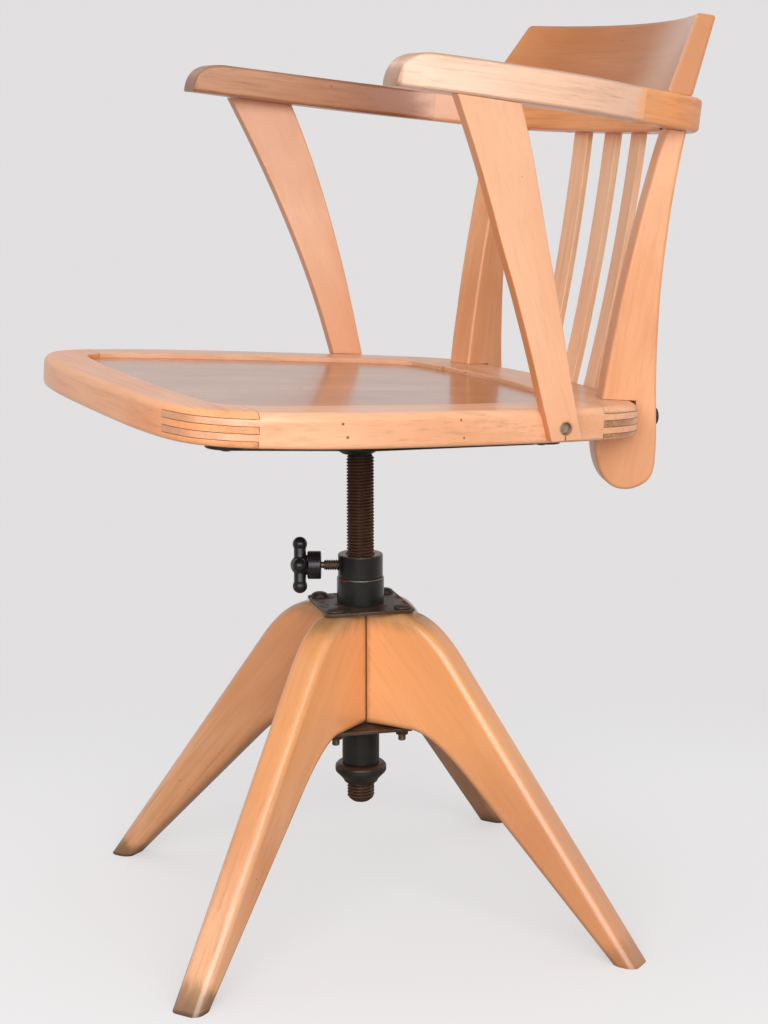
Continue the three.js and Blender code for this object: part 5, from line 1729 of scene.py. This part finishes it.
def bow_blank(sizes):
    outer, inner = bow_line(BOW_OUTER), bow_line(BOW_INNER)
    middle = (outer + inner) / 2
    middle = middle[middle[:, 1] > -NOSE_REACH]
    steps = np.linalg.norm(np.diff(middle, axis=0), axis=1)
    far = np.concatenate([[0], np.cumsum(steps)])
    nose = np.array([0.05, 0.3, 0.8, 1.5, 2.4, 3.6, 5, 7, 9.5, 12.5, 16, 20, 25, 30])
    places = np.concatenate([nose, np.linspace(36, far[-1] - 36, 230), far[-1] - nose[::-1]])
    edge, corner = millimetres(sizes.arm_edge), millimetres(sizes.nose_edge)
    rings, wear = [], []
    for place in places:
        point = np.array([np.interp(place, far, middle[:, 0]), np.interp(place, far, middle[:, 1])])
        ahead = np.array([np.interp(place + 1, far, middle[:, 0]), np.interp(place + 1, far, middle[:, 1])])
        behind = np.array([np.interp(place - 1, far, middle[:, 0]), np.interp(place - 1, far, middle[:, 1])])
        along = (ahead - behind) / np.linalg.norm(ahead - behind)
        across = np.array([along[1], -along[0]])
        out, back = crossing(outer, point, along, across), crossing(inner, point, along, across)
        reach = min(place, far[-1] - place)
        taper = corner - math.sqrt(max(corner ** 2 - (corner - min(reach, corner)) ** 2, 0))
        low, high = min(out, back) + taper, max(out, back) - taper
        section = rounded_rectangle((low, 0), (high, nose_top(reach)), edge, 5)
        flat = point + section[:, :1] * across
        rings.append(np.column_stack([flat, section[:, 1]]))
        wear.append(section[:, 2])
    return loft("bow", rings, wear)


def crest_screw_place(share):
    x = share * CREST_HALF_FOOT
    drop = CREST_RADIUS - math.sqrt(CREST_RADIUS ** 2 - x * x)
    return Matrix.Translation((x, CREST_FOOT - drop + CREST_THICKNESS / 2 + 3, 1.5))


class CHAIR_OT_arm_bow(ChairStep):
    """Two arms and the back bow between them"""
    bl_idname = "chair.arm_bow"
    bl_label = "Arms and back bow"

    def build(self, sizes, colours):
        blank = bow_blank(sizes)
        radius, depth = (size + GAP for size in CREST_WELL)
        cut(blank, *(put(rod("well", radius, -OVERRUN, depth, 40), crest_screw_place(s))
                     for s in CREST_SCREWS))
        keep = GAP / 10
        arm = copy_of(blank, "left_arm_wood")
        trim(arm, block("keep", (0, -FAR, -OVERRUN), (FAR, BOW_JOINT - keep, BOW_THICKNESS + OVERRUN)))
        line = (bow_line(BOW_OUTER) + bow_line(BOW_INNER)) / 2
        lay_grain(arm, line)
        other = copy_of(arm, "right_arm_wood", MIRROR)
        bow = blank
        bow.name = "back_bow_wood"
        trim(bow, block("keep", (-FAR, BOW_JOINT + keep, -OVERRUN), (FAR, FAR, BOW_THICKNESS + OVERRUN)))
        plane = BOW_PLANE.to_3x3()
        deep = colours.arm_deep
        # The right arm takes its darker tones as painted shade.
        for piece, name, light, shade, seed in (
            (arm, "left_arm", colours.arm_light, deep, 17.3),
            (other, "right_arm", colours.far_arm_shaded_light, colours.far_arm_shaded_deep, 18.9),
        ):
            put(piece, BOW_PLANE)
            ahead = -(plane @ Y)
            tip = NOSE_REACH + ahead.z * BOW_HEIGHT
            zones = [
                (ahead, (tip - 6) * MM, (tip - 1.2) * MM, 0.004, tone(128, 74, 42), 0.55),
                (ahead, (tip - 0.9) * MM, (tip - 0.4) * MM, 0.0004, tone(160, 88, 50), 0.95),
            ]
            if name == "right_arm":
                # Painted shadow: the back part of the right arm is darkened.
                zones.append((Y, 0.03, 0.12, 0.05, tone(138, 76, 40), 0.85))
                zones.append((Y, 0.138, 0.172, 0.03, tone(222, 170, 142), 0.9))
            else:
                zones.append((Y, 0.148, 0.164, 0.018, colours.bow_light, 0.85))
            # Painted shade: the arms' faces turned up are darkened, for the light that falls less on their
            # tops.
            material = wood(f"Arm beech {name}", light, shade, seed, zones, rough=0.38, coat=0.2, wear=0.5,
                            worn=darker(shade, 0.4), rub=0.25, bands=0.1, fibres=0.55, streaks=0.65,
                            flecks=0.08,
                            specks=0.03, ends=0, painted_face_shade=(2, tone(202, 176, 158)), curved=True)
            finish(piece, material, "seat", [name], plane @ Y, plane @ Z)
        lay_grain(bow, line)
        put(bow, BOW_PLANE)
        pale = [(-X, 0.14, 0.19, 0.02, tone(222, 170, 142), 0.75)]
        material = wood("Bow beech", colours.bow_light, colours.bow_deep, 19.7, pale, rough=0.38, coat=0.2,
                        wear=0.3, rub=0.15, bands=0.1, fibres=0.5, streaks=0.6, specks=0.05, ends=0,
                        curved=True)
        finish(bow, material, "seat", ["back_bow"], plane @ X, plane @ Z)


class CHAIR_OT_crest(ChairStep):
    """Crest board standing on the back bow"""
    bl_idname = "chair.crest"
    bl_label = "Crest board"

    def build(self, sizes, colours):
        edge = millimetres(sizes.crest_edge)
        centre = CREST_FOOT - CREST_RADIUS
        stations = [(-1, a) for a in np.linspace(math.pi / 2, 0, 5)]
        stations += [(s, 0) for s in np.linspace(-1, 1, 97)[1:-1]]
        stations += [(1, a) for a in np.linspace(0, math.pi / 2, 5)]
        rings, wear = [], []
        for share, angle in stations:
            less = edge * (1 - math.cos(angle))
            section = rounded_rectangle((less, less), (CREST_THICKNESS - less, CREST_HEIGHT - less),
                                        max(edge - less, 0.4), 4)
            height = section[:, 1]
            depth = section[:, 0] * (1 + CREST_TAPER / CREST_THICKNESS * (1 - height / CREST_HEIGHT))
            end = CREST_HALF_FOOT - (CREST_HALF_FOOT - CREST_HALF_TOP) * height / CREST_HEIGHT
            if abs(share) == 1:
                end = end - edge * (1 - math.sin(angle)) if angle else end - edge
            else:
                end = end - edge
            radius = CREST_RADIUS + depth
            turn = share * np.arcsin(end / radius)
            x, y = radius * np.sin(turn), centre + radius * np.cos(turn) + CREST_RAKE * height
            rings.append(np.column_stack([x, y, BOW_THICKNESS + GAP + height]))
            wear.append(np.maximum(section[:, 2], math.sin(2 * angle)))
        crest = loft("crest_board_wood", rings, wear)
        turns = np.linspace(-0.6, 0.6, 241)
        reach = CREST_RADIUS + CREST_THICKNESS / 2
        lay_grain(crest, np.column_stack([reach * np.sin(turns), centre + reach * np.cos(turns)]))
        put(crest, BOW_PLANE)
        plane = BOW_PLANE.to_3x3()
        slope = (CREST_HALF_FOOT - CREST_HALF_TOP) / CREST_HEIGHT
        outward = plane @ Vector((1, 0, slope)).normalized()
        reach = (CREST_HALF_FOOT + BOW_THICKNESS * slope) / math.hypot(1, slope) + outward.z * BOW_HEIGHT
        zones = [
            # Painted reflection: the crest is paled towards its +X end, for the backdrop that its curved,
            # glossy face reflects.
            ("X", 0.27, 0.38, 0.02, tone(232, 192, 170), 0.75),
            (outward, (reach - 1.6) * MM, (reach - 0.6) * MM, 0.0006, tone(206, 134, 82), 0.8),
        ]
        # Painted shade: the crest's faces turned up are darkened, for the light that falls less on its top.
        material = wood("Crest beech", colours.crest_light, colours.crest_deep, 21.3, zones, rough=0.36,
                        coat=0.15, wear=0.35, rub=0.15, bands=0.05, fibres=0.35, streaks=0.3, specks=0.02,
                        ends=0,
                        curved=True, painted_face_shade=(2, tone(196, 148, 112)))
        finish(crest, material, "seat", ["crest_board"], plane @ X, plane @ Z)
        metal = black_iron("Crest screw iron", 8.8, 0.4)
        for k in range(len(CREST_SCREWS)):
            coat_packed(f"crest_screw_{k + 1}", metal)


class CHAIR_OT_studio(ChairStep):
    """Floor, lights and camera"""
    bl_idname = "chair.studio"
    bl_label = "Studio"

    def build(self, sizes, colours):
        scene = bpy.context.scene
        studio = scene.chair_studio
        scene.view_settings.view_transform = "Standard"
        build_world(studio)
        build_floor(studio)
        for name, place, height in LAMPS:
            lamp = bpy.data.lights.new(name, "AREA")
            lamp.shape = "DISK"
            lamp.size = LAMP_SIZE
            lamp.energy = getattr(studio, name)
            stand(name, lamp, place, Z * height - Vector(place))
        camera = bpy.data.cameras.new("camera")
        camera.lens = studio.lens
        camera.sensor_width = 36
        camera.clip_start = 0.05
        camera.clip_end = 60
        scene.camera = stand("camera", camera, studio.camera_place, Vector(studio.camera_aim))


def seen_directly(g):
    """1 for rays that show the backdrop: camera, glossy and transmission rays."""
    path = g.add("LightPath").outputs
    both = g.calc("MAXIMUM", path["Is Camera Ray"], path["Is Glossy Ray"])
    return g.calc("MAXIMUM", both, path["Is Transmission Ray"])


def build_world(studio):
    world = bpy.data.worlds.new("studio")
    world.use_nodes = True
    g = Graph(world.node_tree)
    direction = g.texture_place("Generated")
    behind = g.vector("DOT_PRODUCT", direction, studio.camera_aim)
    level = g.calc("MAXIMUM", g.remap(behind, -0.3, 0.45, 0.42, 1.0), g.ray("Camera"))
    plain = g.add("Background", None, Color=rgba(studio.backdrop), Strength=level)
    level = g.remap(g.part(direction, 2), -0.35, 0.5, studio.under, studio.ambient)
    soft = g.add("Background", None, Color=(1.0, 1.0, 1.0, 1.0), Strength=level)
    mix = g.shade_by(seen_directly(g), soft, plain)
    g.feed(g.add("OutputWorld").inputs["Surface"], mix.outputs[0])
    bpy.context.scene.world = world


def build_floor(studio):
    """A plain floor that fades into the backdrop."""
    angles = np.linspace(0, 2 * math.pi, FLOOR_FACETS, endpoint=False)
    vertices = [(r * math.cos(a), r * math.sin(a), 0) for r in FLOOR_RINGS for a in angles]
    faces = [tuple(range(FLOOR_FACETS))]
    for start in range(0, len(vertices) - FLOOR_FACETS, FLOOR_FACETS):
        for i in range(FLOOR_FACETS):
            here, there = start + i, start + (i + 1) % FLOOR_FACETS
            faces.append((here, here + FLOOR_FACETS, there + FLOOR_FACETS, there))
    mesh = bpy.data.meshes.new("floor")
    mesh.from_pydata(vertices, [], faces)
    floor = bpy.data.objects.new("floor", mesh)
    bpy.context.scene.collection.objects.link(floor)
    material = bpy.data.materials.new("Studio floor")
    material.use_nodes = True
    g = Graph(material.node_tree)
    away = g.vector("LENGTH", g.texture_place("Object"))
    seen = g.ray("Camera")
    matt = g.add("BsdfDiffuse", None, Color=g.blend(studio.floor_bounce, studio.floor, seen))
    plain = g.add("Emission", None, Color=rgba(studio.floor_glow), Strength=1.0)
    lit = g.shade_by(g.times(seen, 0.5), matt, plain)
    far = g.remap(away, 0.45, 0.95)
    mix = g.shade_by(g.times(far, seen_directly(g)), lit, g.add("BsdfTransparent"))
    g.feed(g.add("OutputMaterial").inputs["Surface"], mix.outputs[0])
    mesh.materials.append(material)


def stand(name, data, place, aim):
    """Sets up a lamp or the camera, turned to look along aim."""
    holder = bpy.data.objects.new(name, data)
    holder.location = place
    holder.rotation_mode = "QUATERNION"
    holder.rotation_quaternion = aim.to_track_quat("-Z", "Y")
    bpy.context.scene.collection.objects.link(holder)
    return holder


STEPS = [
    CHAIR_OT_legs, CHAIR_OT_plates, CHAIR_OT_leg_bolts, CHAIR_OT_swivel, CHAIR_OT_clamp,
    CHAIR_OT_height_screw, CHAIR_OT_seat_frame, CHAIR_OT_seat_panel, CHAIR_OT_spider, CHAIR_OT_posts,
    CHAIR_OT_slats, CHAIR_OT_supports, CHAIR_OT_arm_bow, CHAIR_OT_crest, CHAIR_OT_studio,
]


class CHAIR_PT_panel(bpy.types.Panel):
    """Lists the pieces, sizes and colours of the chair"""
    bl_idname = "CHAIR_PT_panel"
    bl_label = "Swivel Chair"
    bl_space_type = "VIEW_3D"
    bl_region_type = "UI"
    bl_category = "Swivel Chair"

    def draw(self, context):
        layout = self.layout
        for step in STEPS:
            layout.operator(step.bl_idname)
        for group in (context.scene.chair_sizes, context.scene.chair_colours, context.scene.chair_studio):
            column = layout.column()
            for name in group.bl_rna.properties.keys():
                if name not in ("rna_type", "name"):
                    column.prop(group, name)


GROUPS = [ChairSizes, ChairColours, StudioSettings]


def register():
    for item in (*GROUPS, *STEPS, CHAIR_PT_panel):
        bpy.utils.register_class(item)
    bpy.types.Scene.chair_sizes = PointerProperty(type=ChairSizes)
    bpy.types.Scene.chair_colours = PointerProperty(type=ChairColours)
    bpy.types.Scene.chair_studio = PointerProperty(type=StudioSettings)


def unregister():
    del bpy.types.Scene.chair_sizes
    del bpy.types.Scene.chair_colours
    del bpy.types.Scene.chair_studio
    for item in (CHAIR_PT_panel, *reversed(STEPS), *reversed(GROUPS)):
        bpy.utils.unregister_class(item)


def main():
    register()
    for step in STEPS:
        group, action = step.bl_idname.split(".")
        getattr(getattr(bpy.ops, group), action)()


if __name__ == "__main__":
    main()
